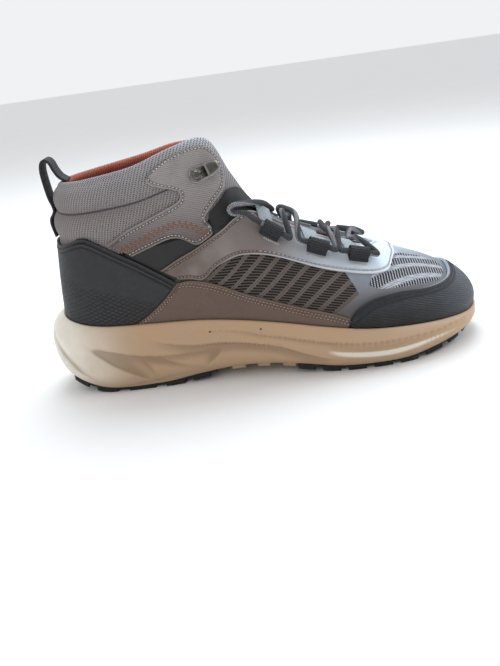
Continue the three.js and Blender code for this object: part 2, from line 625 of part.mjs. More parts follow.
// A strand passes through keepers; side is -1 on the outer side, way is 1 towards the toe. The
// lifts are its heights over the edge it leaves, the crown of the tongue and the edge it reaches.
const firstStrand = [
  { keeper: 0, side: -1, way: 1, lifts: [3, 3, 2] },
  { keeper: 1, side: 1, way: 1, lifts: [2, 3, 4] },
  { keeper: 2, side: -1, way: 1 },
];
const secondStrand = [
  { keeper: 2, side: -1, way: 1, lifts: [1.6, 1, 1.6] },
  { keeper: 2, side: 1, way: -1, lifts: [2, 3, 3] },
  { keeper: 1, side: -1, way: -1, lifts: [5, 7.5, 3] },
  { keeper: 0, side: 1, way: -1 },
];
const edgeShift = 0.42;      // sections from a keeper to where its lace crosses the edge
const bendStart = 0.58;      // where a lace starts to turn away from its keeper, share of the straight
const onceEach = (value, k, all) => all.indexOf(value) === k;
function strandPoints(passes, from, to) {
  return passes.flatMap(({ keeper, side, way, lifts }, k) => {
    const start = k === 0 ? from : -straightHalf;
    const end = lifts ? straightHalf : to;
    const through = [start, bendStart * start, 0, bendStart * end, end].filter(onceEach)
      .map((place) => onAxis(keeper, side, way * place));
    if (!lifts) return through;
    const next = passes[k + 1];
    const leave = keeperPlaces[keeper][0] + edgeShift * way;
    const reach = keeperPlaces[next.keeper][0] - edgeShift * next.way;
    return [
      ...through,
      overEdge(leave, side, laceRise + lifts[0]),
      overCrown((leave + reach) / 2, laceRise + lifts[1]),
      overEdge(reach, next.side, laceRise + lifts[2]),
    ];
  });
}
const makeLace = () => cord(strandPoints(firstStrand, -laceEnd, 0), 50, crossingSides)
  .add(cord(strandPoints(secondStrand, 0, laceEnd), 66, crossingSides));

// The loose loop of lace at the top, hanging over the outer side: a route chosen by hand.
const bightRoute = [
  [97.5, -38, 112.3], [93.5, -39.2, 113.4], [89.6, -39.8, 114], [88.2, -39.6, 116.1],
  [90.4, -38.9, 118.2], [94.6, -36.8, 118.3], [99.6, -33, 117.6], [106.4, -25.5, 115.5],
  [110.5, -15, 111.9], [113.7, -2, 106.6], [115.8, 9, 102.3], [114.5, 18, 100.5], [110, 26, 99.5],
].map((point) => new THREE.Vector3(...point));
const makeBight = () => cord([
  ...[laceEnd + clearance, laceEnd + laceDiameter].map((place) => onAxis(0, -1, -place)),
  ...bightRoute,
  ...[laceEnd + laceDiameter, laceEnd + clearance].map((place) => onAxis(0, 1, -place)),
], 32);

// Pull loop: webbing that runs up the back of the heel, over the top and down to the
// inner edge of the collar.
const pullLoopBottom = 0.57;
// x from the heel's top edge and z from the collar's height at the back
const pullLoopRoute = [
  [-5.2, -15.5], [-6.9, -6.5], [-7.8, 2.5], [-8, 10.5], [-6.7, 15.7], [-4.1, 17.2], [-1.5, 15.2],
  [0.4, 10], [3, 5.4], [7.3, 2.2],
];
function makePullLoop() {
  const out = clearance + webbingThickness / 2;
  const top = lastPoint(0, 1);
  const flat = ({ x, z }) => new THREE.Vector2(x, z);
  const outside = [pullLoopBottom, 0.64, 0.7].map((v) => flat(skin(0, v, out)));
  const free = pullLoopRoute.map(([x, z]) => new THREE.Vector2(top.x + x, top.z + z));
  const curve = new THREE.SplineCurve([...outside, ...free]);
  const loops = spread(31).map((t) => {
    const point = curve.getPoint(t);
    const tangent = curve.getTangent(t);
    const edge = new THREE.Vector3(-tangent.y, 0, tangent.x).multiplyScalar(webbingThickness / 2);
    const corner = (side, face) => new THREE.Vector3(point.x, side * webbingWidth / 2, point.y)
      .addScaledVector(edge, face);
    return [corner(-1, 1), corner(1, 1), corner(1, -1), corner(-1, -1)];
  });
  return loft(loops, { caps: true });
}

// Colours

const finish = (color, roughness, metalness = 0) => new THREE.MeshStandardMaterial({
  color, roughness, metalness,
});
const finishes = {
  knit: finish(0xb9b7b5, 0.85), charcoal: finish(0x35373b, 0.55), taupe: finish(0x9a8f8a, 0.7),
  stay: finish(0xb5afb2, 0.5), strip: finish(0x85766c, 0.65), black: finish(0x1d1e21, 0.6),
  foam: finish(0xcbbca4, 0.6), rubber: finish(0x141416, 0.8), lace: finish(0x6c6a69, 0.8),
  metal: finish(0x6b6a66, 0.35, 1), lining: finish(0xb5614d, 0.9),
};

const shoe = new THREE.Group();
function addPiece(name, solid, material) {
  const { vertProperties, triVerts } = solid.getMesh();
  const geometry = new THREE.BufferGeometry();
  geometry.setAttribute('position', new THREE.BufferAttribute(new Float32Array(vertProperties), 3));
  geometry.setIndex(new THREE.BufferAttribute(new Uint32Array(triVerts), 1));
  const mesh = new THREE.Mesh(geometry, material);
  mesh.name = name;
  shoe.add(mesh);
}

addPiece('upper', makeUpper(), finishes.knit);
addPiece('midsole', makeMidsole(), finishes.foam);
addPiece('outsole_heel', makeOutsole([1, 4.5], 4, 0.12, 0.98), finishes.rubber);
addPiece('outsole_forefoot', makeOutsole([7, 12.5], 6, 0.15, 0.98), finishes.rubber);
addPiece('insole', makeInsole(), finishes.lining);
addPiece('tongue', makeTongue(), finishes.knit);
for (const [name, outline, middle] of [
  ['heel_counter', heelCounterOutline, 0], ['toe_cap', toeCapOutline, toeSection],
]) {
  const whole = bothSides(outline, middle);
  addPiece(name, panel(whole, capThickness, 2 * whole.length), finishes.charcoal);
}
addPiece('eyestay', panel(bothSides(eyestayOutline, toeSection), overlayThickness), finishes.stay);
for (const [side, label] of [[-1, 'lateral'], [1, 'medial']]) {
  const place = side < 0 ? (outline) => outline : otherSide;
  addPiece(`quarter_strip_${label}`, panel(place(stripOutline), overlayThickness), finishes.strip);
  addPiece(`ankle_panel_${label}`, panel(place(ankleOutline), overlayThickness), finishes.taupe);
  addPiece(`instep_patch_${label}`, panel(place(patchOutline), patchThickness), finishes.black);
  addPiece(`speed_hook_${label}`, makeHook(side), finishes.metal);
  addPiece(`hook_rivet_${label}`, makeRivet(side), finishes.metal);
  keeperPlaces.forEach((_, k) => {
    addPiece(`lace_keeper_${label}_${k + 1}`, makeKeeper(k, side), finishes.black);
  });
}
addPiece('heel_pull_loop', makePullLoop(), finishes.black);
addPiece('lace_crossings', makeLace(), finishes.lace);
addPiece('lace_bight', makeBight(), finishes.lace);

export default shoe;
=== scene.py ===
# High-top trail sneaker, right shoe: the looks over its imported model.
# Sizes are in millimetres, meshes in metres. u runs around the shoe from the heel,
# along the outer side to the toe and back, and v runs up the upper from the sole to its top edge.
import math
from functools import reduce

import bmesh
import bpy
import numpy as np
from mathutils import Matrix, Vector


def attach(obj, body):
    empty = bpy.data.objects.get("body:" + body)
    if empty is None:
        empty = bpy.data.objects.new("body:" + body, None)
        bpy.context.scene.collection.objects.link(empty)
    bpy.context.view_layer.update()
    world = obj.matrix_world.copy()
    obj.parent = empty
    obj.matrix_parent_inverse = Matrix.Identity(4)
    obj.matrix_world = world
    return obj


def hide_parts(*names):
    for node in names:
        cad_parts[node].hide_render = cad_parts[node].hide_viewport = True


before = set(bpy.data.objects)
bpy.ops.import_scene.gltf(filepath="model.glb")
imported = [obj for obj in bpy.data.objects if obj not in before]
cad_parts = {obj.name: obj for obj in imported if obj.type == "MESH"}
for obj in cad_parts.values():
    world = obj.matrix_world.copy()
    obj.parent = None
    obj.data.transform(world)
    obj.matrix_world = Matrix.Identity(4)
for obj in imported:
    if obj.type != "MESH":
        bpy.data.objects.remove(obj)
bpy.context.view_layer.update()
mm = 0.001

shoe = {
    "soleLength": 302, "ballWidth": 104, "heelStack": 55, "collarHeight": 157, "heelSeat": 50,
    "clearance": 0.3, "clothWall": 2.4, "collarPadding": 4, "rollHeight": 3.0, "capThickness": 1.8,
    "overlay": 1.4, "patch": 0.9, "tuckShare": 0.3, "tuckIn": 1.2, "lip": 1.6, "belowLip": -0.4,
}
clearance, overlay = shoe["clearance"], shoe["overlay"]

# In thousandths of the sole's length, the ball's width, the foam's height and, above the foam, the collar's:
# x, lateral, medial, z, swell x out z, bend x out z, top x half z, medial drop
sections = np.array([
    [48, 0, 0, 1000, 7, 0, 178, 73, 0, 764, 89, 0, 892, 0],
    [71, 202, 197, 955, 7, 24, 178, 93, 19, 745, 106, 154, 898, 0],
    [139, 303, 298, 891, 0, 29, 191, 149, 48, 742, 159, 260, 908, 0],
    [258, 322, 298, 855, 0, 29, 204, 265, 58, 758, 265, 298, 936, 0],
    [344, 332, 284, 836, 0, 38, 204, 358, 77, 799, 358, 274, 990, 20],
    [417, 351, 279, 800, 0, 48, 217, 430, 115, 809, 430, 202, 1000, 46],
    [483, 380, 298, 755, 0, 48, 204, 470, 135, 739, 470, 163, 854, 53],
    [556, 418, 346, 691, 0, 38, 178, 523, 144, 637, 517, 163, 713, 56],
    [636, 457, 404, 609, 0, 29, 153, 613, 163, 535, 603, 144, 586, 28],
    [719, 466, 442, 527, 0, 29, 140, 702, 173, 478, 682, 115, 510, 8],
    [805, 428, 442, 473, 0, 38, 127, 778, 173, 446, 725, 82, 471, 0],
    [891, 327, 382, 418, 13, 58, 115, 834, 125, 425, 742, 53, 463, 0],
    [957, 180, 276, 382, 23, 50, 108, 868, 58, 409, 748, 24, 460, 0],
    [987, -48, 48, 364, 30, 0, 108, 894, 0, 401, 752, 0, 459, 0],
]) / 1000
# The same for the sole: widest line x, lateral, medial, z, then its bottom edge
soleRows = np.array([
    [0, 0, 0, 618, 20, 0, 0, 309],
    [30, 240, 231, 582, 43, 212, 202, 218],
    [119, 370, 356, 509, 126, 327, 317, 73],
    [245, 394, 365, 491, 248, 351, 327, 66],
    [338, 394, 341, 509, 338, 346, 298, 118],
    [417, 409, 332, 527, 417, 356, 288, 164],
    [490, 433, 351, 491, 490, 385, 308, 173],
    [563, 471, 394, 418, 563, 428, 356, 145],
    [642, 505, 452, 345, 642, 466, 413, 87],
    [725, 514, 490, 291, 725, 481, 452, 70],
    [815, 481, 486, 273, 811, 452, 452, 76],
    [911, 368, 424, 270, 898, 338, 394, 133],
    [971, 202, 298, 270, 956, 180, 268, 195],
    [1000, -48, 48, 265, 986, -48, 48, 245],
]) / 1000
toe = len(sections) - 1
around = 2 * toe
sides = (-1, "lateral"), (1, "medial")


def inPlace(x, y, z, side):
    return (x * shoe["soleLength"] - shoe["heelSeat"], side * y * shoe["ballWidth"], z)


def ringOf(pointOf):
    return np.array([pointOf(k, -1) if k <= toe else pointOf(around - k, 1) for k in range(around)])


def sectionControls(k, side):
    x, lateral, medial, z, sx, so, sz, bx, bo, bz, tx, half, tz, drop = sections[k]
    width, drop = (lateral, 0) if side < 0 else (medial, drop)
    foot, high = z * shoe["heelStack"], shoe["collarHeight"]
    return [inPlace(x, width, foot, side), inPlace(x + sx, width + so, foot + sz * high, side),
            inPlace(bx, half + bo, (bz - drop) * high, side), inPlace(tx, half, (tz - drop) * high, side)]


def soleLine(first):
    return ringOf(lambda k, side: inPlace(
        soleRows[k][first], soleRows[k][first + (1 if side < 0 else 2)],
        soleRows[k][first + 3] * shoe["heelStack"], side))


upperRing = ringOf(sectionControls)
widestLine, bottomLine = soleLine(0), soleLine(4)


def smoothBetween(a, b, c, d, t):  # from b to c, on a curve that also passes through a and d
    return ((-t + 2 * t**2 - t**3) * a + (2 - 5 * t**2 + 3 * t**3) * b
            + (t + 4 * t**2 - 3 * t**3) * c + (-t**2 + t**3) * d) / 2


def ringPoint(ring, u):  # a closed curve through points
    u = np.asarray(u, float) % len(ring)
    first = np.floor(u).astype(int)
    t = (u - first).reshape(u.shape + (1,) * (ring.ndim - 1))
    return smoothBetween(*(ring[(first + k) % len(ring)] for k in (-1, 0, 1, 2)), t)


def splineAt(points, t):  # an open curve through points
    points = np.asarray(points, float)
    last = len(points) - 1
    place = np.asarray(t, float) * last
    first = np.clip(np.floor(place).astype(int), 0, last - 1)
    near = [points[np.clip(first + k, 0, last)] for k in (-1, 0, 1, 2)]
    return smoothBetween(*near, (place - first)[..., None])


def soft(value, low, high):
    t = np.clip((np.asarray(value, float) - low) / (high - low), 0, 1)
    return t * t * (3 - 2 * t)


def unit(vectors):
    return vectors / (np.linalg.norm(vectors, axis=-1, keepdims=True) + 1e-12)


def stationOf(u):
    turn = np.asarray(u, float) % around
    return np.minimum(turn, around - turn)


def onSide(station, side):
    return station if side < 0 else around - station


def lengthsAlong(line):  # way from a line's start to each of its points
    return np.append(0, np.cumsum(np.linalg.norm(np.diff(line, axis=0), axis=1)))


def lastPoint(u, v):
    u, v = np.broadcast_arrays(np.asarray(u, float), np.asarray(v, float))
    w = 1 - v
    shares = np.stack([w**3, 3 * w * w * v, 3 * w * v * v, v**3], -1)[..., None]
    return (ringPoint(upperRing, u) * shares).sum(-2)


def lastNormal(u, v):
    u, v = np.broadcast_arrays(np.asarray(u, float), np.asarray(v, float))
    step = 0.004
    along = lastPoint(u + step, v) - lastPoint(u - step, v)
    up = lastPoint(u, np.minimum(v + step, 1)) - lastPoint(u, np.maximum(v - step, 0))
    return unit(np.cross(along, up))


def rollAt(u, v):  # the two padded rolls around the collar
    low, middle, high = 0.6, 0.785, 0.99
    fade = 1 - soft(stationOf(u), 2.7, 3.5)
    share = np.where(v < middle, (v - low) / (middle - low), (v - middle) / (high - middle))
    return shoe["rollHeight"] * fade * np.sin(np.pi * np.clip(share, 0, 1)) ** 0.75


def wallAt(u, v):
    return shoe["clothWall"] + shoe["collarPadding"] * soft(v, 0.5, 0.68) * (1 - soft(stationOf(u), 4.4, 6))


def skin(u, v, offset=0.0):
    u, v, offset = np.broadcast_arrays(*(np.asarray(k, float) for k in (u, v, offset)))
    above, below = np.maximum(v, 0), np.minimum(v, 0)
    normal = lastNormal(u, above)
    normal[..., 2] *= soft(v, 0, 0.17)
    normal = unit(normal)
    point = lastPoint(u, above) + normal * (offset + rollAt(u, v) + below * shoe["tuckIn"])[..., None]
    point[..., 2] += below * shoe["tuckShare"] * lastPoint(u, above)[..., 2]
    return point


# Lengths over the skin, from the heel along each side and up from the sole
arcStops = np.linspace(0, toe, 261)
arcLengths = lengthsAlong(lastPoint(arcStops, 0.45))
girths = np.linalg.norm(
    np.diff(lastPoint(arcStops[:, None], np.linspace(0, 1, 41)[None]), axis=1), axis=-1).sum(1)


def flat(u, v):
    station = stationOf(u)
    return np.interp(station, arcStops, arcLengths), np.asarray(v) * np.interp(station, arcStops, girths)


def stationLength(u, v):
    return np.linalg.norm(lastPoint(u + 0.5, v) - lastPoint(u - 0.5, v))


def insideBy(outline, u, v):  # how far a place lies inside an outline, below 0 outside it
    x, y = flat(u, v)
    ends = np.stack(flat(*np.array(outline, float).T), -1)
    nearest, inside = np.full(x.shape, 1e9), np.zeros(x.shape, bool)
    for (ax, ay), (bx, by) in zip(ends, np.roll(ends, 1, 0)):
        ex, ey = bx - ax, by - ay
        t = np.clip(((x - ax) * ex + (y - ay) * ey) / (ex * ex + ey * ey), 0, 1)
        nearest = np.minimum(nearest, np.hypot(x - ax - t * ex, y - ay - t * ey))
        inside ^= ((ay > y) != (by > y)) & (x < ex * (y - ay) / (ey or 1e-9) + ax)
    return np.where(inside, nearest, -nearest)


# Camera at the photograph's angle
view = {"place": (0.1015, -0.484, 0.2103), "turn": 1.5, "down": 21.8, "roll": 8.17, "lens": 38.92}


def addObject(name, data):
    made = bpy.data.objects.new(name, data)
    bpy.context.scene.collection.objects.link(made)
    return made


def meshOf(name, bm):
    mesh = bpy.data.meshes.new(name)
    bm.to_mesh(mesh)
    bm.free()
    return mesh


def makeCamera():
    turn, down, roll = (math.radians(view[k]) for k in ("turn", "down", "roll"))
    ahead = Vector((-math.sin(turn) * math.cos(down), math.cos(turn) * math.cos(down), -math.sin(down)))
    right = Vector((math.cos(turn), math.sin(turn), 0))
    up = right.cross(ahead)
    across = right * math.cos(roll) - up * math.sin(roll)
    upright = right * math.sin(roll) + up * math.cos(roll)
    camera = addObject("camera", bpy.data.cameras.new("camera"))
    camera.data.lens, camera.data.sensor_width = view["lens"], 36
    camera.data.clip_start = 0.01
    camera.matrix_world = Matrix((across, upright, -ahead)).transposed().to_4x4()
    camera.location = view["place"]
    bpy.context.scene.camera = camera


makeCamera()


# Shader maths as plain expressions
def mathsMethod(operation):
    return lambda self, *others: self.look.maths(operation, self, *others)


class Socket:
    __add__ = __radd__ = mathsMethod("ADD")
    __sub__ = mathsMethod("SUBTRACT")
    __mul__ = __rmul__ = mathsMethod("MULTIPLY")
    __truediv__ = mathsMethod("DIVIDE")
    part, whole, size = mathsMethod("FRACT"), mathsMethod("FLOOR"), mathsMethod("ABSOLUTE")
    most, least = mathsMethod("MAXIMUM"), mathsMethod("MINIMUM")

    def __init__(self, look, out):
        self.look, self.out = look, out

    def __rsub__(self, other):
        return self.look.maths("SUBTRACT", other, self)

    def sine(self, length):  # a wave of that length, from -1 to 1
        return self.look.maths("SINE", self * (2 * math.pi / length))

    def between(self, low, high):  # 0 at low, 1 at high, smooth on the way
        return self.look.node("MapRange", {"interpolation_type": "SMOOTHSTEP"}, {0: self, 1: low, 2: high})


class Look:
    def __init__(self, name):
        self.material = bpy.data.materials.new(name)
        self.material.use_nodes = True
        self.nodes, self.links = self.material.node_tree.nodes, self.material.node_tree.links
        self.shader = self.nodes["Principled BSDF"]

    def node(self, kind, settings=None, values=None, output=0):
        node = self.nodes.new("ShaderNode" + kind)
        for key, value in (settings or {}).items():
            setattr(node, key, value)
        for key, value in (values or {}).items():
            self.put(node.inputs[key], value)
        return Socket(self, node.outputs[output])

    def put(self, target, value):
        if isinstance(value, Socket):
            self.links.new(value.out, target)
        else:  # three numbers are a colour read off the photograph
            target.default_value = tint(value) if isinstance(value, tuple) and len(value) == 3 else value

    def maths(self, operation, *values):
        return self.node("Math", {"operation": operation}, dict(enumerate(values)))

    def set(self, settings):
        for key, value in settings.items():
            self.put(self.shader.inputs[key], value)

    def mark(self, name):
        return self.node("Attribute", {"attribute_name": name}, output="Fac")

    def mix(self, share, first, second):
        return self.node("Mix", {"data_type": "RGBA"}, {0: share, 6: first, 7: second}, 2)

    def layers(self, colour, *layers):  # each layer is a share and the colour it lays over the rest
        for share, paint in layers:
            colour = self.mix(share, colour, paint)
        return colour

    def place(self):  # x, y and z of the piece in millimetres
        spot = self.node("TexCoord", output="Object")
        split = self.node("SeparateXYZ", values={0: spot}).out.node
        return [Socket(self, split.outputs[k]) * 1000 for k in range(3)]

    def noise(self, length, detail=2, roughness=0.5):
        spot = self.node("TexCoord", output="Object")
        return self.node("TexNoise", {}, {"Vector": spot, "Scale": 1000 / length, "Detail": detail,
                                          "Roughness": roughness}, "Fac")

    def finish(self, colour, roughness, height, depth, coat=0, metallic=0):
        # height of the relief 0 to 1, its depth in millimetres
        relief = self.node("Bump", {}, {"Height": height, "Distance": depth * mm, "Strength": 1})
        self.set({"Base Color": colour, "Roughness": roughness, "Normal": relief, "Coat Weight": coat,
                  "Metallic": metallic})
        return self.material


midsoleSpecks = [(63.7, 37.5), (97.4, 36.2)]  # two specks of dirt on its outer side
seamAt = {"panel": (2.2,), "strip": (1.9, 3.9), "toeCap": (2.3, 4.3)}  # stitch rows from an edge
counterEdge = {"cord": 3.75, "grooves": (2.3, 5.2)}
capRails = (1.0, 5.7)


def tint(colour):  # from 0 to 255 on screen to the renderer's values
    return (*(((k / 255 + 0.055) / 1.055) ** 2.4 if k > 10 else k / 255 / 12.92 for k in colour), 1)


def wornEdge(look, colour, worn, share=0.5):  # uneven colour and a little dirt
    return look.mix(look.noise(9, 4, 0.65).between(0.45, 0.8) * share, colour, worn)


def nearEdge(look, edges):  # distance to the nearest of a panel's named edges
    return reduce(Socket.least, [look.mark(f"to{name.title()}") for name in edges])


def linesAt(far, places, faint, full):  # thin lines at some distances from an edge
    return reduce(Socket.most, [(far - place).size().between(faint, full) for place in places])


def groove(look, insets, edges=("low", "high")):  # the dents that rows of stitches pull into a panel
    return linesAt(nearEdge(look, edges), insets, 0.95, 0.2)


def edged(look, colour, rim, shade, insets, edges=("low", "high")):  # a pale cut edge, part wear and part painted highlight, and painted shade in the stitch rows
    pale = nearEdge(look, edges).between(0.75, 0.35)
    return look.mix(pale * 0.7, look.mix(groove(look, insets, edges) * 0.6, colour, shade), rim)


def knitHoles(along, up, wide, high):
    return along.sine(wide) * up.sine(high)


def slotPattern(along, up, column, row, lean):  # slots of a mesh in leaning rows, and the ridges beside them
    line = up / row
    across = ((along - line.whole() * lean) / column).part()
    slot = (across - 0.5).size().between(0.34, 0.30) * (line.part() - 0.5).size().between(0.33, 0.25)
    smooth = (((along - line * lean) / column + lean / column / 2).part() - 0.5).size()
    ridge = smooth.between(0.385, 0.405) * smooth.between(0.45, 0.43)
    return slot, ridge


def upperLook():
    look = Look("upperCloth")
    along, up = look.mark("along"), look.mark("up")
    x, y, z = look.place()
    black = look.mark("blackZone").most(look.mark("instepZone")).between(-0.3, 0.3)
    collar, sideMesh, toeMesh = (look.mark(name).between(-0.3, 0.3) for name in (
        "collarZone", "sideZone", "toeZone"))
    collar = collar.most(x.between(112, 108) * z.between(121, 123))  # the knit reaches the collar's front rim
    # painted sky light: the film turns lighter and bluish higher up, and lighter still over the toe
    film = look.layers(
        (86, 80, 78), (z.between(40, 62), (136, 143, 154)),
        (z.between(58, 74) * x.between(150, 185), (204, 219, 236)),
        (look.noise(14, 3).between(0.4, 0.7) * 0.3, (98, 94, 94)), (x.between(116, 104), (46, 43, 43)))
    holes = knitHoles(along + up * 0.45, up, 1.9, 2.5)
    seam = look.mark("seam").size()
    # painted light: the knit turns lighter higher up, and lighter and bluish at the collar's top towards its
    # front
    knit = look.layers(
        (146, 139, 138), (up.between(70, 118), (178, 178, 184)),
        (x.between(40, 92) * up.between(90, 125), (206, 212, 220)),
        (look.noise(26, 3).between(0.4, 0.65) * 0.3, (138, 131, 131)),
        (holes.between(-0.1, -0.7), (84, 79, 80)),
        # painted shade along the crease of the seam between the two rolls, darkest in a thin line on the seam
        (seam.between(7, 0) * x.between(72, 60) * 0.35, (120, 112, 112)),
        (seam.between(0.9, 0.4) * x.between(66, 54), (74, 68, 72)))
    slot, ridge = slotPattern(along, up, 12.0, 1.68, 2.15)
    thread = (along * 0.35 + up).sine(0.7).between(-0.6, 0.6)
    # painted highlight: the ridges beside the slots are lighter, more so higher up
    side = look.layers((66, 57, 51), (thread, (122, 108, 98)),
                       (ridge * 0.4 * z.between(26, 66), (176, 171, 170)), (slot, (14, 13, 13)))
    toeSlot, toeRidge = slotPattern(y + x * 0.35, x, 8.6, 1.9, 1.6)
    toeThread = (y - x * 0.4).sine(0.8).between(-0.6, 0.6)
    toeSide = look.layers((140, 142, 148), (toeThread, (196, 202, 214)), (toeRidge * 0.7, (204, 208, 220)),
                          (toeSlot, (40, 37, 38)))
    colour = look.layers(film, (collar, knit), (black, wornEdge(look, (17, 16, 17), (30, 29, 31), 0.3)),
                         (sideMesh, side), (toeMesh, toeSide))
    height = collar * (holes * 0.5 + 0.5) * seam.between(0.2, 1.2)
    height = height + sideMesh * (thread * 0.35 + ridge * 0.5 + 0.4 - slot)
    height = height + toeMesh * (toeThread * 0.3 + toeRidge * 0.4 + 0.3 - toeSlot)
    height = height + look.noise(20, 3) * (1 - collar) * 0.7
    cloth = (collar + sideMesh + toeMesh).least(1)
    return look.finish(colour, cloth * 0.42 + 0.46, height, 0.55)


def liningLook():
    look = Look("collarLining")
    along, up = look.mark("along"), look.mark("up")
    rib = along.sine(1.5) * 0.5 + 0.5
    pores = knitHoles(along, up, 1.5, 1.5).between(0.2, -0.8)
    # painted light: the rib stripes alternate a lit and a shaded copy of the lining's colour
    colour = look.layers((150, 80, 64), (rib, (198, 116, 95)), (pores * 0.4, (104, 50, 42)),
                         (look.noise(18).between(0.4, 0.7) * 0.25, (210, 130, 108)))
    return look.finish(colour, 0.9, rib * 0.7 + (1 - pores) * 0.3, 0.45)


def ribbedLook():
    look = Look("ribbedMicrofibre")
    z = look.place()[2]
    rib = (z + look.noise(6) * 0.35).sine(1.15) * 0.5 + 0.5
    # painted light: lighter towards the top, with the rib crests painted as highlights there; the stitch rows
    # get painted shade
    colour = look.layers((97, 86, 82), (z.between(100, 142), (142, 136, 135)),
                         (look.noise(16, 3).between(0.46, 0.72) * 0.3, (98, 88, 84)),
                         (rib * 0.4 * z.between(92, 120), (182, 178, 178)))
    relief = rib * 0.5 + look.noise(1.2) * 0.3 - groove(look, seamAt["panel"]) * 1.2
    return look.finish(edged(look, colour, (152, 144, 140), (80, 72, 69), seamAt["panel"]),
                       0.6 + look.noise(3) * 0.2, relief, 0.35)


def stayLook():
    look = Look("smoothStay")
    x = look.place()[0]
    # painted sky light: lighter and bluish towards the toe, where the eyestay faces up; the pale edge
    # brightens there as painted highlight, and the stitch rows get painted shade
    colour = look.layers((97, 82, 74), (x.between(46, 96), (122, 113, 109)),
                         (x.between(104, 146), (190, 197, 207)), (x.between(150, 186), (214, 228, 240)),
                         (look.noise(24, 3).between(0.5, 0.72) * 0.4, (150, 140, 136)))
    rim = look.mix(x.between(66, 112), (112, 98, 90), (214, 214, 218))
    shade = look.mix(x.between(104, 150), (74, 64, 58), (140, 142, 148))
    relief = look.noise(0.9, 3) * 0.2 + look.noise(24, 2) * 2.2 - groove(look, seamAt["panel"])
    return look.finish(edged(look, colour, rim, shade, seamAt["panel"]), 0.36 + look.noise(5) * 0.2,
                       relief, 0.5, coat=0.1)


def stripLook():
    look = Look("suedeStrip")
    seam = seamAt["strip"], ("high", "first")
    colour = look.mix(look.noise(1.4, 3).between(0.3, 0.7) * 0.25,
                      wornEdge(look, (100, 83, 73), (90, 74, 64), 0.6), (116, 98, 87))
    relief = look.noise(0.8, 3) * 0.6 + look.noise(15) - groove(look, *seam)
    # painted shade in the stitch rows
    return look.finish(edged(look, colour, (112, 96, 86), (86, 71, 62), *seam),
                       0.66 + look.noise(2) * 0.2, relief, 0.3)


def smoothBlackLook():
    look = Look("smoothPatch")
    return look.finish(wornEdge(look, (17, 16, 17), (30, 29, 31), 0.4), 0.4 + look.noise(4) * 0.25,
                       look.noise(0.7, 2) * 0.5 + look.noise(12), 0.25)


def counterLook():
    look = Look("mouldedCounter")
    along, up, toHigh = look.mark("along"), look.mark("up"), look.mark("toHigh")
    first, second = ((along * 0.5 + up * way).sine(5.4).size() for way in (0.95, -0.95))
    grid = first.between(0.36, 0.08).most(second.between(0.36, 0.08)) * (up + along * 0.32).between(44, 34)
    line = linesAt(toHigh, counterEdge["grooves"], 0.75, 0.25)
    cord = (toHigh - counterEdge["cord"]).size().between(0.9, 0.4)
    # painted shade in the grooves of the embossed grid and under the top edge, painted highlight on the
    # raised cord
    colour = look.layers(wornEdge(look, (34, 34, 36), (48, 48, 51), 0.4), (grid * 0.75, (19, 19, 21)),
                         (cord * 0.5, (58, 58, 62)), (line * 0.85, (16, 16, 18)))
    relief = (1 - grid) * 0.8 + look.noise(0.6) * 0.2 + cord * 0.6 - line * 0.8
    return look.finish(colour, 0.44 + look.noise(3) * 0.22, relief, 0.7)


def capLook():
    look = Look("ribbedToeCap")
    along, up, toHigh = look.mark("along"), look.mark("up"), look.mark("toHigh")
    x, _, z = look.place()
    rib = (up + along * 0.22 + look.noise(8) * 0.5).sine(1.9) * 0.5 + 0.5
    inner = toHigh.between(5.4, 6.2)
    band = toHigh.between(0.7, 1.1) * (1 - inner)
    # painted sky light: darker low, lighter and bluish towards the top and the toe; the ribs and the top edge
    # get painted highlights towards the toe
    ground = look.mix(z.between(30, 58) * 0.5 + x.between(212, 248) * 0.5, (12, 12, 13), (72, 79, 90))
    colour = look.layers(wornEdge(look, ground, (54, 57, 63), 0.2),
                         (rib * 0.3 * inner * x.between(190, 240), (96, 102, 112)),
                         (band * 0.75, (28, 30, 35)),
                         (toHigh.between(1.1, 0.6) * x.between(190, 235), (160, 174, 192)))
    rail = linesAt(toHigh, capRails, 0.7, 0.2)
    relief = rib * 0.6 * inner + look.noise(0.6) * 0.2 - rail * 0.8 - band * 0.5
    return look.finish(colour, 0.48 + look.noise(3) * 0.2, relief, 0.5)


def foamLook():
    look = Look("midsoleFoam")
    x, y, z = look.place()
    dent, pale = look.mark("dent"), (234, 229, 217)
    grime = look.noise(5, 5, 0.7).between(0.58, 0.78) * z.between(22, 6)

    def speck(atX, atZ):
        far = (x - atX) * (x - atX) + (z - atZ) * (z - atZ)
        return far.between(0.7, 0.3) * y.between(0, -1), (60, 50, 42)
    # painted light: the foam's own colour is the off-white; the tan over all but the back of the heel is
    # painted warm shade, the pale forefoot band and the pale raised ledges are painted highlights, and the
    # low band and the crease dents get painted shade
    colour = look.layers(
        pale, (x.between(-44, 20), (184, 152, 119)), (x.between(150, 235) * z.between(16, 34) * 0.55, pale),
        (z.between(16, 4) * 0.7, (166, 140, 114)),
        (look.noise(26, 4).between(0.4, 0.72) * 0.3, (172, 150, 124)),
        (dent.between(0.35, 1.7) * 0.55, (122, 98, 76)), (dent.between(-0.15, -0.9) * 0.7, (240, 236, 226)),
        (look.noise(1.6, 2).between(0.68, 0.76) * 0.2, (140, 118, 94)), (grime * 0.3, (120, 98, 78)),
        *[speck(*place) for place in midsoleSpecks])
    return look.finish(colour, 0.4 + look.noise(4) * 0.2, look.noise(0.7, 2) * 0.3 + look.noise(18), 0.25,
                       coat=0.08)


def rubberLook():
    look = Look("treadRubber")
    dust = look.noise(6, 5, 0.7).between(0.52, 0.8)
    return look.finish(look.mix(dust * 0.4, (28, 28, 30), (84, 78, 70)), 0.68 + look.noise(2) * 0.25,
                       look.noise(0.6, 3), 0.3)


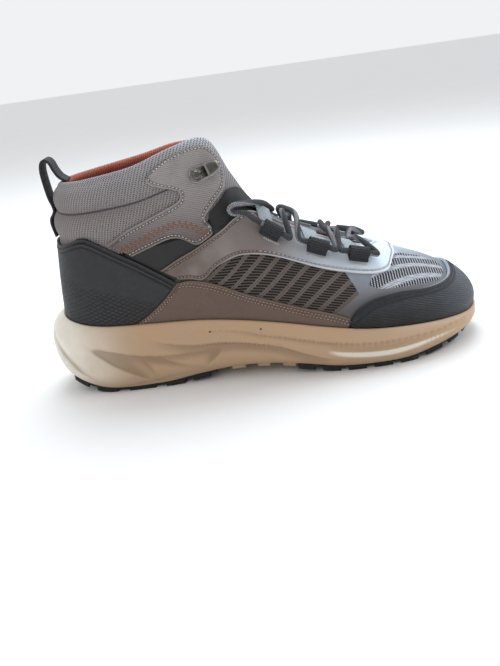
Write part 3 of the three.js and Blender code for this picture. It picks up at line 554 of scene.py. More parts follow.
def webbingLook(name, ground, thread):
    look = Look(name)
    along, up = look.mark("along"), look.mark("up")
    rib = up.sine(1.5) * 0.5 + 0.5
    stitch = knitHoles(along, up, 2.2, 3.0).between(0.0, 0.8)
    # the rib stripes are painted highlight on the rib crests; the stitch pattern is the weave's own
    colour = look.mix(rib * 0.45 + stitch * 0.45, ground, thread)
    return look.finish(colour, 0.8, rib * 0.6 + stitch * 0.4, 0.45)


def laceLook():
    look = Look("braidedLace")
    along, up = look.mark("along"), look.mark("up")  # up runs once around the cord
    braid = (along / 2.2 + up * 3).sine(1) * (along / 2.2 - up * 3).sine(1)
    turn = along / 9  # the coloured threads wind slowly around the cord
    facing = (look.mark("acrossX") * look.maths("COSINE", turn)
              + look.mark("acrossY") * look.maths("SINE", turn))
    fleck = turn.part().between(0.7, 0.76) * facing.between(0.93, 0.98)
    colour = look.layers((38, 38, 41), (braid.between(-0.5, 0.5), (78, 78, 83)),
                         (facing.between(0.5, 0.85) * (0.45 + braid * 0.4), (176, 182, 190)),
                         (fleck * 0.85, (172, 92, 62)))
    return look.finish(colour, 0.85, braid * 0.5 + 0.5, 0.35)


def metalLook():
    look = Look("darkMetal")
    rubbed = look.mark("rubbed")
    colour = look.layers((112, 109, 104), (look.noise(3, 4).between(0.4, 0.75) * 0.5, (66, 64, 60)),
                         # the rim is lighter: part worn metal, part painted highlight
                         (rubbed * 0.5, (196, 193, 187)))
    return look.finish(colour, 0.2 + look.noise(1.5, 3) * 0.2, look.noise(2, 3) - rubbed * 2, 0.12,
                       metallic=1)


def threadLook(name, colour, worn):
    look = Look(name)
    colour = look.mix(look.noise(0.8, 2).between(0.35, 0.7), colour, worn)
    return look.finish(colour, 0.8, look.noise(0.3, 2), 0.1)


looks = {
    "upper": upperLook(), "lining": liningLook(), "ribbed": ribbedLook(), "stay": stayLook(),
    "strip": stripLook(), "black": smoothBlackLook(), "counter": counterLook(), "cap": capLook(),
    "foam": foamLook(), "rubber": rubberLook(), "lace": laceLook(), "metal": metalLook(),
    "webbing": webbingLook("blackWebbing", (24, 26, 29), (58, 62, 68)),
    "tape": webbingLook("lightTape", (150, 162, 168), (200, 210, 216)),
}
for name, colour, worn in (
        ("paleThread", (226, 222, 220), (188, 182, 180)), ("taupeThread", (190, 168, 152), (156, 138, 124)),
        ("greyThread", (128, 124, 127), (96, 92, 95)), ("rustThread", (154, 98, 70), (128, 78, 56)),
        ("darkThread", (30, 31, 35), (60, 63, 70))):
    looks[name] = threadLook(name, colour, worn)
print("materials ready")


# Pieces
def faceAway(bm, core):  # turns a sheet's faces away from a line inside the shoe at that height
    away = 0
    for face in bm.faces:
        centre = face.calc_center_median()
        inside = Vector((min(max(centre.x, 0), 0.2), 0, core * mm))
        away += face.normal.dot(centre - inside) * face.calc_area()
    if away < 0:
        bmesh.ops.reverse_faces(bm, faces=bm.faces[:])


def addPiece(name, bm, materials, nodes=(), solid=0.0, bevel=0.0, core=None, side=-1):
    bmesh.ops.recalc_face_normals(bm, faces=bm.faces[:])
    if core is not None:
        faceAway(bm, core)
    for face in bm.faces:
        face.smooth = True
    piece = addObject(name, meshOf(name, bm))
    for material in materials if isinstance(materials, list) else [materials]:
        piece.data.materials.append(material)
    if solid:
        wall = piece.modifiers.new("wall", "SOLIDIFY")
        wall.thickness, wall.offset = solid * mm, side
    if bevel:
        edge = piece.modifiers.new("edge", "BEVEL")
        edge.width, edge.segments, edge.limit_method, edge.angle_limit = bevel * mm, 3, "ANGLE", 0.9
        edge.harden_normals = False
    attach(piece, "root")
    if nodes:
        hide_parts(*nodes)
    return piece


def joinInto(bm, other):
    mesh = meshOf("joined", other)
    bm.from_mesh(mesh)
    bpy.data.meshes.remove(mesh)


def gridMesh(columns, rows, place, marks=None, slotOf=None, merge=False):
    bm = bmesh.new()
    bmesh.ops.create_grid(bm, x_segments=columns, y_segments=rows, size=1)
    bm.verts.ensure_lookup_table()
    spots = np.round(np.array([vert.co[:2] for vert in bm.verts]) / 2 + 0.5, 6)
    order = np.lexsort((spots[:, 0], spots[:, 1]))
    s, t = spots[order].reshape(-1, len(np.unique(spots[:, 0])), 2).transpose(2, 0, 1)
    if slotOf:
        for face in bm.faces:
            middle = face.calc_center_median() / 2
            face.material_index = slotOf(middle.x + 0.5, middle.y + 0.5)
    for name, values in (marks(s, t) if marks else {}).items():
        layer = bm.verts.layers.float.new(name)
        for k, value in zip(order, np.broadcast_to(values, s.shape).ravel()):
            bm.verts[k][layer] = value
    for k, point in zip(order, (place(s, t) * mm).reshape(-1, 3)):
        bm.verts[k].co = point
    if merge:
        bmesh.ops.remove_doubles(bm, verts=bm.verts[:], dist=2e-5)
    return bm


# Upper: one padded shell with its lining
upper = {
    "columns": 416, "rows": 116, "outer": 0.68, "rim": 0.73, "tuck": 0.25, "rimHeight": 0.42, "rimArc": 1.5,
    "collarZone": [(-0.1, 0.45), (2.6, 0.47), (4.4, 0.5), (5, 0.58), (5.5, 0.72), (5.9, 0.81), (6.3, 0.89),
        (6.7, 0.95), (7.2, 1.25), (6, 1.25), (5, 1.25), (4, 1.25), (3, 1.25), (2, 1.25), (1, 1.25),
        (-0.1, 1.25)],
    "blackZone": [(2.4, 0.5), (2.6, 0.49), (3.1, 0.52), (3.55, 0.56), (3.93, 0.56), (4.75, 0.52),
        (4.95, 0.5), (4.75, 0.4), (4.35, 0.34), (3.5, 0.25), (3.0, 0.3), (2.6, 0.4)],
    "instepZone": [(4.75, 0.5), (5.5, 0.56), (6.4, 0.76), (7.3, 0.91), (7.3, 1.25), (7.0, 1.1),
        (6.57, 0.965), (6.15, 0.87), (5.78, 0.8), (5.4, 0.715), (5, 0.61), (4.72, 0.56)],
    "sideZone": [(4.25, 0.25), (4.83, 0.33), (5.3, 0.385), (5.83, 0.44), (6.48, 0.5), (7.45, 0.56),
        (8.6, 0.57), (8.73, 0.53), (8.92, 0.334), (8.3, 0.15), (8.05, 0.11), (7.12, 0.12), (5.8, 0.15),
        (5, 0.19), (4.45, 0.23)],
    "toeZone": [(9.45, 0.54), (9.6, 0.57), (10.1, 0.7), (10.5, 0.76), (11.0, 0.78), (11.75, 0.775),
        (12.35, 0.70), (12.58, 0.571), (12.2, 0.49), (11.38, 0.421), (10.23, 0.40), (9.55, 0.385),
        (9.25, 0.42)],
    "rollSeam": 0.785,
}


def upperPlace(s, t):  # up the outside, over the rim and down the lining, tucked in below the sole's edge
    u = around * s
    outer, rim, tuck = upper["outer"], upper["rim"], upper["tuck"]
    rise = (1 + tuck) * np.clip(t / outer, 0, 1) - tuck
    fall = (1 + tuck) * np.clip((1 - t) / (1 - rim), 0, 1) - tuck
    v = np.where(t <= outer, rise, fall)
    v = np.where(v < 0, v / tuck, v)
    wall = wallAt(u, v)
    point = skin(u, v, np.where(t <= outer, 0, -wall))
    turn = np.pi * (t - outer) / (rim - outer)
    middle, edge = skin(u, 1, -wallAt(u, 1) / 2), skin(u, 1)
    up = unit(lastPoint(u, 1) - lastPoint(u, 0.97)) * (wallAt(u, 1) * upper["rimHeight"])[..., None]
    rounded = middle + (edge - middle) * np.cos(turn)[..., None] + up * np.sin(turn)[..., None]
    onRim = ((t > outer) & (t < rim))[..., None]
    return np.where(onRim, rounded, point), v


def upperMarks(s, t):
    u, v = around * s, upperPlace(s, t)[1]
    along, up = flat(u, v)
    over = np.clip((t - upper["outer"]) / (upper["rim"] - upper["outer"]), 0, 1)
    up = up + over * wallAt(u, 1) * upper["rimArc"]
    zones = {name: insideBy(upper[name], stationOf(u), v)
             for name in ("collarZone", "blackZone", "instepZone", "sideZone", "toeZone")}
    return {"along": along, "up": up, "seam": up - flat(u, upper["rollSeam"])[1], **zones}


bm = gridMesh(upper["columns"], upper["rows"], lambda s, t: upperPlace(s, t)[0], upperMarks,
              lambda s, t: 0 if t < (upper["outer"] + upper["rim"]) / 2 else 1, merge=True)
addPiece("upperShell", bm, [looks["upper"], looks["lining"]], ["upper"])
print("upper made")


# Panels sewn or moulded on the upper: u, v on one edge, then u, v on the other
def fromLip(*rows):  # the low edge is hidden behind the lip of the sole
    return [(lowU, shoe["belowLip"], highU, highV) for lowU, highU, highV in rows]


outlines = {
    "heelCounter": fromLip(
        (0.98, 3.66, 0.262), (0.94, 3.15, 0.359), (0.88, 2.73, 0.452), (0.8, 2.35, 0.546),
        (0.7, 2.08, 0.6), (0.6, 1.8, 0.61), (0.35, 0.98, 0.56), (0, 0, 0.545)),
    "toeCap": fromLip(
        (8.3, 8.6, 0.1), (8.75, 8.8, 0.18), (9.3, 9.25, 0.285), (10, 10, 0.348), (11, 11, 0.38),
        (12, 12, 0.437), (13, 13, 0.52)),
    "strip": fromLip(
        (1.03, 3.7, 0.25), (2.2, 4.05, 0.259), (3.3, 4.45, 0.242), (4.3, 5, 0.21), (5.4, 5.73, 0.176),
        (6.8, 7.12, 0.143), (7.7, 8.05, 0.124), (8.25, 8.54, 0.09)),
    "eyestay": [
        (3.79, 0.276, 3.34, 0.345), (4.12, 0.268, 3.8, 0.392), (4.45, 0.256, 4.35, 0.434),
        (4.83, 0.312, 4.8, 0.474), (5.3, 0.362, 5.2, 0.52), (5.78, 0.409, 5.62, 0.595),
        (6.3, 0.452, 6.05, 0.683), (6.7, 0.488, 6.4, 0.765), (7.05, 0.512, 6.75, 0.835),
        (7.5, 0.53, 7.2, 0.9), (8.1, 0.535, 7.9, 0.95), (8.73, 0.535, 8.6, 0.965),
        (9.5, 0.54, 9.4, 0.965), (9.98, 0.575, 10, 0.965), (10.25, 0.64, 10.6, 0.965),
        (10.6, 0.715, 11.2, 0.965), (11.3, 0.79, 11.8, 0.965), (12.2, 0.84, 12.4, 0.965),
        (13, 0.86, 13, 0.965)],
    "ankle": [
        (2.8, 0.463, 2.42, 0.557), (3.1, 0.49, 2.8, 0.628), (3.6, 0.515, 3.2, 0.662),
        (3.95, 0.502, 3.6, 0.68), (4.35, 0.452, 3.85, 0.69), (4.7, 0.474, 3.97, 0.7),
        (4.86, 0.5, 4.03, 0.711), (4.7, 0.548, 4.05, 0.72), (4.68, 0.585, 4.05, 0.73),
        (4.93, 0.639, 4.04, 0.74), (5.4, 0.751, 4, 0.755), (5.5, 0.85, 3.9, 0.77),
        (5.42, 0.91, 3.75, 0.79), (5, 0.95, 3.55, 0.82), (4.33, 0.965, 3.42, 0.845),
        (3.8, 0.953, 3.34, 0.868), (3.4, 0.925, 3.3, 0.893)],
    "patch": [
        (5.02, 0.522, 4.8, 0.56), (5.3, 0.553, 4.8, 0.592), (5.55, 0.612, 5.04, 0.64),
        (5.8, 0.668, 5.32, 0.7), (6.02, 0.715, 5.5, 0.755), (6.3, 0.785, 5.78, 0.825),
        (6.52, 0.83, 6.1, 0.9), (6.75, 0.875, 6.4, 0.955), (7, 0.915, 6.85, 0.975)],
}
panels = {
    "heelCounter": {"thickness": 1.8, "columns": 220, "rows": 100, "edge": 0.5},
    "toeCap": {"thickness": 1.8, "columns": 220, "rows": 44, "edge": 0.5},
    "strip": {"thickness": 1.4, "columns": 110, "rows": 24, "edge": 0.45},
    "eyestay": {"thickness": 1.4, "columns": 300, "rows": 34, "edge": 0.45},
    "ankle": {"thickness": 1.4, "columns": 120, "rows": 40, "edge": 0.45},
    "patch": {"thickness": 0.9, "columns": 50, "rows": 26, "edge": 0.3},
}


def bothSides(outline, middle):
    return outline + [(2 * middle - a, b, 2 * middle - c, d) for a, b, c, d in reversed(outline[:-1])]


def otherSide(outline):
    return [(around - a, b, around - c, d) for a, b, c, d in outline]


def panelPlaces(outline, s, t):
    table = np.array(outline)
    line = splineAt(table[:, :2], s) * (1 - t)[..., None] + splineAt(table[:, 2:], s) * t[..., None]
    return line[..., 0], line[..., 1]


edgeNames = "low", "high", "first", "last"


def fromEdges(points):  # distance of each point of a grid to the grid's four edges
    def run(line):
        steps = np.linalg.norm(np.diff(line, axis=0), axis=-1)
        total = np.cumsum(np.vstack([np.zeros(line.shape[1]), steps]), axis=0)
        return total, total[-1] - total
    low, high = run(points)
    first, last = (k.T for k in run(points.transpose(1, 0, 2)))
    return low, high, first, last


def edgeMarks(place):  # lengths along and across a piece and what is left to its edges
    def marks(s, t):
        low, high, first, last = fromEdges(place(s, t))
        nearest = np.minimum(np.minimum(first, last), np.minimum(low, high))
        # the last mark is closeness to an edge: worn metal and a painted highlight on the rim
        return {"along": low, "up": first, "toTop": last, "rubbed": np.clip(1.3 - nearest, 0, 1)}
    return marks


def makePanel(name, kind, outline, material, node, seams=("low", "high"), relief=None):
    made = panels[kind]

    def place(s, t):
        u, v = panelPlaces(outline, s, t)
        far = dict(zip(edgeNames, fromEdges(skin(u, v))))
        depth = np.zeros(s.shape)
        for edge in seams:
            depth = depth + 0.3 * np.exp(-(((far[edge] - seamAt["panel"][0]) / 0.8) ** 2))
        if relief:
            depth = depth - relief(far["high"])
        return skin(u, v, clearance + made["thickness"] - np.minimum(depth, 0.5))

    def marks(s, t):
        u, v = panelPlaces(outline, s, t)
        along, up = flat(u, v)
        far = {f"to{name.title()}": value for name, value in zip(edgeNames, fromEdges(skin(u, v)))}
        return {"along": along, "up": up, **far}

    bm = gridMesh(made["columns"], made["rows"], place, marks)
    addPiece(name, bm, material, [node], solid=made["thickness"], bevel=made["edge"], core=60)


def counterRelief(high):  # a raised cord between two grooves under its top edge
    cord = 0.35 * np.exp(-((high - counterEdge["cord"]) ** 2))
    return cord - sum(0.4 * np.exp(-(((high - far) / 0.6) ** 2)) for far in counterEdge["grooves"])


makePanel("heelCounterCap", "heelCounter", bothSides(outlines["heelCounter"], 0), looks["counter"],
          "heel_counter", seams=(), relief=counterRelief)
makePanel("toeCapCover", "toeCap", bothSides(outlines["toeCap"], toe), looks["cap"],
          "toe_cap", seams=("high",))
makePanel("eyestayCover", "eyestay", bothSides(outlines["eyestay"], toe), looks["stay"], "eyestay")
for side, label in sides:
    turned = (lambda outline: outline) if side < 0 else otherSide
    makePanel(f"quarterStrip.{label}", "strip", turned(outlines["strip"]), looks["strip"],
              f"quarter_strip_{label}", seams=("high", "first"))
    makePanel(f"anklePanel.{label}", "ankle", turned(outlines["ankle"]), looks["ribbed"],
              f"ankle_panel_{label}")
    makePanel(f"instepPatch.{label}", "patch", turned(outlines["patch"]), looks["black"],
              f"instep_patch_{label}", seams=())
print("panels made")


# Midsole: soft creases and ledges along its sides, x from the heel and z
midsole = {
    "columns": 380, "wallRows": 80,
    "creases": [  # depth, width to the left and right of a line of stations and heights of the wall
        (1.4, 4.5, 0.9, [(0.4, 0.72), (0.9, 0.53), (1.32, 0.34), (1.53, 0.23), (2, 0.08)]),
        (0.7, 0.9, 2.0, [(1.89, 0.06), (2.3, 0.05), (2.84, 0.09), (3.34, 0.13), (4.29, 0.12)]),
        (1.9, 7.5, 0.9, [(1.86, 0.61), (2.19, 0.46), (2.54, 0.30), (2.85, 0.13)]),
        (1.3, 1.0, 6.5, [(1.86, 0.61), (2.32, 0.55), (2.81, 0.48), (3.49, 0.44), (4.69, 0.41)]),
        (0.9, 0.9, 4.0, [(2.80, 0.47), (3.13, 0.42), (3.59, 0.30), (4.30, 0.14)]),
        (0.7, 0.9, 2.5, [(2.73, 0.48), (2.91, 0.31), (2.97, 0.14)]),
        (1.1, 0.9, 4.0, [(4.69, 0.41), (4.25, 0.19)]),
        (1.8, 1.0, 6.5, [(2.84, 0.75), (3.26, 0.62), (3.9, 0.52), (4.66, 0.49), (5.51, 0.46), (6.5, 0.42),
            (7.09, 0.34), (7.65, 0.25), (7.99, 0.22)]),
        (1.3, 1.0, 2.4, [(3.71, 0.77), (4.46, 0.75), (5.36, 0.69), (5.92, 0.63), (6.75, 0.61),
            (7.51, 0.59), (8.1, 0.58), (8.97, 0.60), (9.84, 0.64), (10.8, 0.71), (11.8, 0.77)]),
        (1.0, 2.6, 1.2, [(7.78, 0.50), (8.22, 0.48), (8.8, 0.47), (9.47, 0.48), (10.19, 0.53),
            (11.3, 0.66)]),
        (-1.3, 1.7, 2.8, [(7.78, 0.45), (8.22, 0.41), (8.8, 0.40), (9.47, 0.40), (10.19, 0.46),
            (11.3, 0.61)]),
    ],
}
inwardLip = 2 * clearance + shoe["capThickness"]


def outwardAt(u):
    normal = lastNormal(u, np.zeros(np.shape(u)))
    normal[..., 2] = 0
    return unit(normal)


def lipTop(u):
    return skin(u, np.zeros(np.shape(u)), inwardLip)


def plainWall(u, height):
    u, height = np.broadcast_arrays(np.asarray(u, float), np.asarray(height, float))
    low, wide = ringPoint(bottomLine, u), ringPoint(widestLine, u)
    top = lipTop(u) + outwardAt(u) * shoe["lip"]
    top[..., 2] -= shoe["lip"] / 2
    lower = (height < 0.5)[..., None]
    start, end = np.where(lower, low, wide), np.where(lower, wide, top)
    pull = np.where(height < 0.5, 0.25, 0.7)
    elbow = wide.copy()
    elbow[..., 2] = start[..., 2] + (end[..., 2] - start[..., 2]) * pull
    t = np.where(height < 0.5, 2 * height, 2 * height - 1)[..., None]
    return (start * (1 - t) + elbow * t) * (1 - t) + (elbow * (1 - t) + end * t) * t


creaseLines = [(deep, left, right, plainWall(*splineAt(route, np.linspace(0, 1, 60)).T)[:, [0, 2]])
               for deep, left, right, route in midsole["creases"]]


def creaseDepth(point):
    spot = point[..., [0, 2]]
    depth = np.zeros(spot.shape[:-1])
    for deep, left, right, line in creaseLines:
        gap = spot[..., None, :] - line
        nearest = np.argmin((gap**2).sum(-1), -1)
        apart = np.take_along_axis(gap, nearest[..., None, None], -2)[..., 0, :]
        ahead = np.gradient(line, axis=0)[nearest]
        onLeft = ahead[..., 0] * apart[..., 1] - ahead[..., 1] * apart[..., 0] > 0
        ends = np.sin(np.pi * np.clip(nearest / (len(line) - 1), 0.02, 0.98)) ** 0.6
        depth = depth + deep * ends * np.exp(-((apart**2).sum(-1) / np.where(onLeft, left, right) ** 2))
    return depth


def soleWall(u, height):
    point = plainWall(u, height)
    return point - outwardAt(np.broadcast_to(u, point.shape[:-1])) * creaseDepth(point)[..., None]


def underside(station, side, drop=0.0):
    lateral, medial = ringPoint(bottomLine, station), ringPoint(bottomLine, around - station)
    share = ((np.asarray(side, float) + 1) / 2)[..., None]
    point = lateral * (1 - share) + medial * share
    point[..., 2] -= drop
    return point


def footbedEdge(u):
    edge = skin(u, -np.ones(np.shape(u)), inwardLip)
    edge[..., 2] -= 2 * clearance
    return edge


def lipMiddle(u):
    return lipTop(u) + outwardAt(u) * shoe["lip"] * 0.5


def midsolePlace(s, t):  # one row after the other around the cross-section of the foam
    outer, count = toe * s[0], midsole["wallRows"]
    inner = around - outer
    parts = [soleWall(outer, share) for share in np.linspace(1, 0, count)]
    parts += [underside(outer, np.full(outer.shape, share)) for share in (-0.5, 0, 0.5)]
    parts += [soleWall(inner, share) for share in np.linspace(0, 1, count)]
    left, right = footbedEdge(outer), footbedEdge(inner)
    parts += [lipMiddle(inner), lipTop(inner), right]
    parts += [right * (1 - k) + left * k for k in (0.25, 0.5, 0.75)]
    parts += [left, lipTop(outer), lipMiddle(outer), parts[0]]
    return np.stack(parts)


midsoleRows = 2 * midsole["wallRows"] + 12  # the two walls, the underside, the lips and the footbed
bm = gridMesh(midsole["columns"], midsoleRows, midsolePlace,
              lambda s, t: {"dent": creaseDepth(midsolePlace(s, t))}, merge=True)
bmesh.ops.dissolve_degenerate(bm, dist=1e-6, edges=bm.edges[:])


def lugMesh(spans):  # blocks under the sole: stations, sides, top, bottom and slant
    bm = bmesh.new()
    for (first, last), (left, right), top, bottom, slant in spans:
        block = bmesh.new()
        bmesh.ops.create_cube(block, size=1)
        bmesh.ops.subdivide_edges(block, edges=block.edges[:], cuts=2, use_grid_fill=True)
        bmesh.ops.bevel(block, geom=[e for e in block.edges if e.calc_face_angle() > 1], offset=0.06,
                        offset_type="OFFSET", affect="EDGES", segments=2, profile=0.5, material=-1)
        spots = np.array([v.co for v in block.verts])
        side = left + (right - left) * (spots[:, 1] + 0.5)
        station = first + (last - first) * (spots[:, 0] + 0.5) - slant * np.abs(side)
        point = underside(station, side) * mm
        point[:, 2] -= (top + (bottom - top) * (0.5 - spots[:, 2])) * mm
        for vert, co in zip(block.verts, point):
            vert.co = (co[0], co[1], max(co[2], 0))
        joinInto(bm, block)
    return bm


addPiece("midsoleFoam", bm, looks["foam"], ["midsole"])
archSpans = (4.92, 5.36), (5.72, 6.14), (6.5, 6.92)
archLugs = lugMesh([(span, (-0.96, 0.96), -1.5, 3, 0) for span in archSpans])
addPiece("archLugs", archLugs, looks["foam"])

outsole = {
    "heel": {"span": (1, 4.5), "rows": 5, "slant": 0.12},
    "forefoot": {"span": (7, 12.5), "rows": 8, "slant": 0.15},
    "sheet": 1.5, "lug": 4.2, "edge": 0.98, "share": 0.7,
    "columns": [(-0.98, -0.62), (-0.5, -0.08), (0.08, 0.5), (0.62, 0.98)],
}
for name, node in (("heel", "outsole_heel"), ("forefoot", "outsole_forefoot")):
    made = outsole[name]
    start, end = made["span"]
    pitch = (end - start) / made["rows"]
    spans = []
    for row in range(made["rows"]):
        first = start + pitch * (row + (1 - outsole["share"]) / 2)
        spans += [((first, first + outsole["share"] * pitch), column, outsole["sheet"] - 0.2,
                   clearance + outsole["lug"], made["slant"]) for column in outsole["columns"]]
    bm = lugMesh(spans)
    sheet = gridMesh(60, 12, lambda s, t: underside(start + (end - start) * s, (2 * t - 1) * outsole["edge"],
                                                    clearance))
    bmesh.ops.solidify(sheet, geom=sheet.faces[:], thickness=outsole["sheet"] * mm)
    joinInto(bm, sheet)
    addPiece(f"outsoleRubber.{name}", bm, looks["rubber"], [node])
print("sole made")


def insolePlace(s, t):
    station = toe * s
    inset = -(shoe["clothWall"] + 2 * clearance)
    left = skin(station, -np.ones(s.shape), inset)
    right = skin(around - station, -np.ones(s.shape), inset)
    across = left * (1 - t)[..., None] + right * t[..., None]
    across[..., 2] += clearance + 4 + 1.6 * (2 * t - 1) ** 4
    return across


bm = gridMesh(90, 24, insolePlace,
              lambda s, t: dict(zip(("along", "up"), insolePlace(s, t).transpose(2, 0, 1))))
addPiece("insolePad", bm, looks["lining"], ["insole"], solid=4, core=0)

# Tongue under the edges of the throat
tongue = {"thickness": 4.5, "crown": -0.03, "topRise": 16, "edges": [0.785, 0.89, 1],
          "stops": [11, 10.5, 10, 9.5, 9, 8.5, 8, 7.5, 7, 6.5, 6, 5.5]}


def crownUp(station):
    up = lastNormal(station, 1) + lastNormal(around - station, 1)
    up[..., 1] = 0
    return unit(up)


def tongueLine(station):
    station = np.asarray(station, float)

    def under(u, v):
        return skin(u, v, -wallAt(u, v) - 4 * clearance)
    left = [under(station, v) for v in tongue["edges"]]
    right = [under(around - station, v) for v in tongue["edges"]]
    a, b = left[-1], right[-1]
    crown = (a + b) / 2 + crownUp(station) * (tongue["crown"] * np.linalg.norm(a - b, axis=-1))[..., None]

    def arch(k):
        return (a * (1 - k) + crown * k) * (1 - k) + (crown * (1 - k) + b * k) * k
    return np.stack([*left, arch(0.25), arch(0.5), arch(0.75), *reversed(right)])


def tonguePlace(s, t):
    lines = tongueLine(np.array(tongue["stops"])).transpose(1, 0, 2)
    top = lines[-1] + unit(lines[-1] - lines[-2]) * (
        tongue["topRise"] * np.sin(np.pi * np.arange(9) / 8) ** 3)[:, None]
    lines = np.vstack([lines, top[None]])
    rows = splineAt(lines.reshape(len(lines), -1), s[0]).reshape(-1, 9, 3)
    return splineAt(rows.transpose(1, 0, 2).reshape(9, -1), t[:, 0]).reshape(len(t), -1, 3)


def tongueLook():
    look = Look("tongueMesh")
    holes = knitHoles(look.mark("along"), look.mark("up"), 2.1, 2.4)
    top = look.mark("toTop").between(17, 16)
    colour = look.layers((168, 166, 170), (holes.between(-0.1, -0.8), (70, 68, 72)),
                         (top, wornEdge(look, (36, 37, 41), (60, 62, 68), 0.4)))
    return look.finish(colour, 0.85 - top * 0.35, (1 - top) * (holes * 0.5 + 0.5) + look.noise(9) * 0.6, 0.5)


bm = gridMesh(140, 48, tonguePlace, edgeMarks(tonguePlace))
addPiece("tonguePad", bm, tongueLook(), ["tongue"], solid=tongue["thickness"], bevel=1.2, core=60)
print("tongue made")


# Places of the lace keepers and the speed hooks on the skin
def frameAt(u, v, offset):
    out = lastNormal(u, v)
    along = lastPoint(u + 0.01, v) - lastPoint(u - 0.01, v)
    along = unit(along - out * (along @ out))
    return np.stack([along, np.cross(out, along), out]), skin(u, v, offset)


def liftOver(axes, origin, u, v, offset, halfLong, halfHigh):
    reachU = halfLong / stationLength(u, v)
    reachV = halfHigh / (10 * np.linalg.norm(lastPoint(u, v + 0.05) - lastPoint(u, v - 0.05)))
    heights = [(skin(u + a * reachU, v + b * reachV, offset) - origin) @ axes[2]
               for a in (-1, 0, 1) for b in (-1, 0, 1)]
    return max(heights) + 2 * clearance


def standAt(place, side, halfLong, halfHigh):
    u, v, offset = onSide(place[0], side), place[1], clearance + overlay
    axes, origin = frameAt(u, v, offset)
    return axes, origin + axes[2] * liftOver(axes, origin, u, v, offset, halfLong, halfHigh)


keeper = {"places": [(7.02, 0.685), (8.13, 0.7), (9.2, 0.69)], "width": 13, "length": 3.4, "wall": 1.3,
          "room": 0.7, "lace": 3.8, "tapeWidth": 11.5}
keeperInside = keeper["lace"] / 2 + keeper["room"]
keeperOutside = keeperInside + keeper["wall"]


def onAxis(index, side, toToe):
    axes, origin = standAt(keeper["places"][index], side, keeper["width"] / 2, keeper["length"])
    local = np.array([toToe if side < 0 else -toToe, keeperOutside / 2, keeperOutside])
    return origin + local @ axes


def stripPiece(name, route, axes, origin, halfWidth, thickness, material, nodes, columns=60, side=-1):
    # a band that follows a route in the frame's up and out axes
    def place(s, t):
        line = splineAt(route, s)
        half = halfWidth(line[..., 0]) if callable(halfWidth) else halfWidth
        local = np.stack([(2 * t - 1) * half, line[..., 0], line[..., 1]], -1)
        return origin + local @ axes
    bm = gridMesh(columns, 8, place, edgeMarks(place))
    return addPiece(name, bm, material, nodes, solid=thickness, bevel=thickness * 0.3, side=side)


# Lace keepers: a black loop around the lace and a light tape up to the edge of the throat
for side, label in sides:
    for index, spot in enumerate(keeper["places"]):
        axes, origin = standAt(spot, side, keeper["width"] / 2, keeper["length"])
        centre = np.array([keeperOutside / 2, keeperOutside])
        radius = keeperInside + keeper["wall"]
        turns = np.radians(np.linspace(-90, 200, 14))
        loop = [(-keeper["length"], 0.5), (-keeper["length"] / 2, 0.5)]
        loop += [tuple(centre + radius * np.array([math.cos(k), math.sin(k)])) for k in turns]
        loop += [(-1.2, 2.6), (-3.2, 2.1), (-keeper["length"], 1.9)]
        stripPiece(f"laceKeeper.{label}.{index + 1}", loop, axes, origin, keeper["width"] / 2, keeper["wall"],
                   looks["webbing"], [f"lace_keeper_{label}_{index + 1}"])
        u, v = onSide(spot[0], side), spot[1]

        def tapePlace(s, t):
            height = v + 0.03 + (0.955 - v) * s
            half = keeper["tapeWidth"] / 2 / stationLength(u, v)
            return skin(u + (2 * t - 1) * half, height, clearance + overlay + 1.1)
        bm = gridMesh(24, 10, tapePlace, edgeMarks(tapePlace))
        addPiece(f"keeperTape.{label}.{index + 1}", bm, looks["tape"], solid=1.0, bevel=0.25,
                 core=60)
print("keepers made")


# Lace
def smoothPath(points, each=12):  # a curve through points, spaced by their distances
    points = np.asarray(points, float)
    ends = np.vstack([2 * points[0] - points[1], points, 2 * points[-1] - points[-2]])
    line = []
    for a, b, c, d in zip(ends, ends[1:], ends[2:], ends[3:]):
        first, middle, last = (max(np.linalg.norm(q - p), 1e-6) ** 0.5 for p, q in ((a, b), (b, c), (c, d)))
        leave = ((b - a) / first - (c - a) / (first + middle) + (c - b) / middle) * middle
        reach = ((c - b) / middle - (d - b) / (middle + last) + (d - c) / last) * middle
        for t in np.linspace(0, 1, each, endpoint=False):
            line.append(b + leave * t + (3 * (c - b) - 2 * leave - reach) * t**2
                        + (2 * (b - c) + leave + reach) * t**3)
    return np.array([*line, points[-1]])


def tube(line, diameter, sides=16):
    tangents = unit(np.gradient(line, axis=0))
    normals = [unit(np.cross(tangents[0], (0.3, 0.2, 1)))]
    for tangent in tangents[1:]:
        normals.append(unit(normals[-1] - tangent * (normals[-1] @ tangent)))
    normals = np.array(normals)
    across = np.cross(tangents, normals)
    lengths = lengthsAlong(line)

    def place(s, t):
        k = np.rint(s[0] * (len(line) - 1)).astype(int)
        turn = 2 * np.pi * t[..., None]
        return line[k] + diameter / 2 * (normals[k] * np.cos(turn) + across[k] * np.sin(turn))

    bm = gridMesh(len(line) - 1, sides, place, lambda s, t: {
        "along": lengths[np.rint(s * (len(line) - 1)).astype(int)], "up": 1 - np.abs(2 * t - 1),
        "acrossX": np.cos(2 * np.pi * t), "acrossY": np.sin(2 * np.pi * t)}, merge=True)
    bmesh.ops.holes_fill(bm, edges=[e for e in bm.edges if e.is_boundary], sides=0)
    return bm


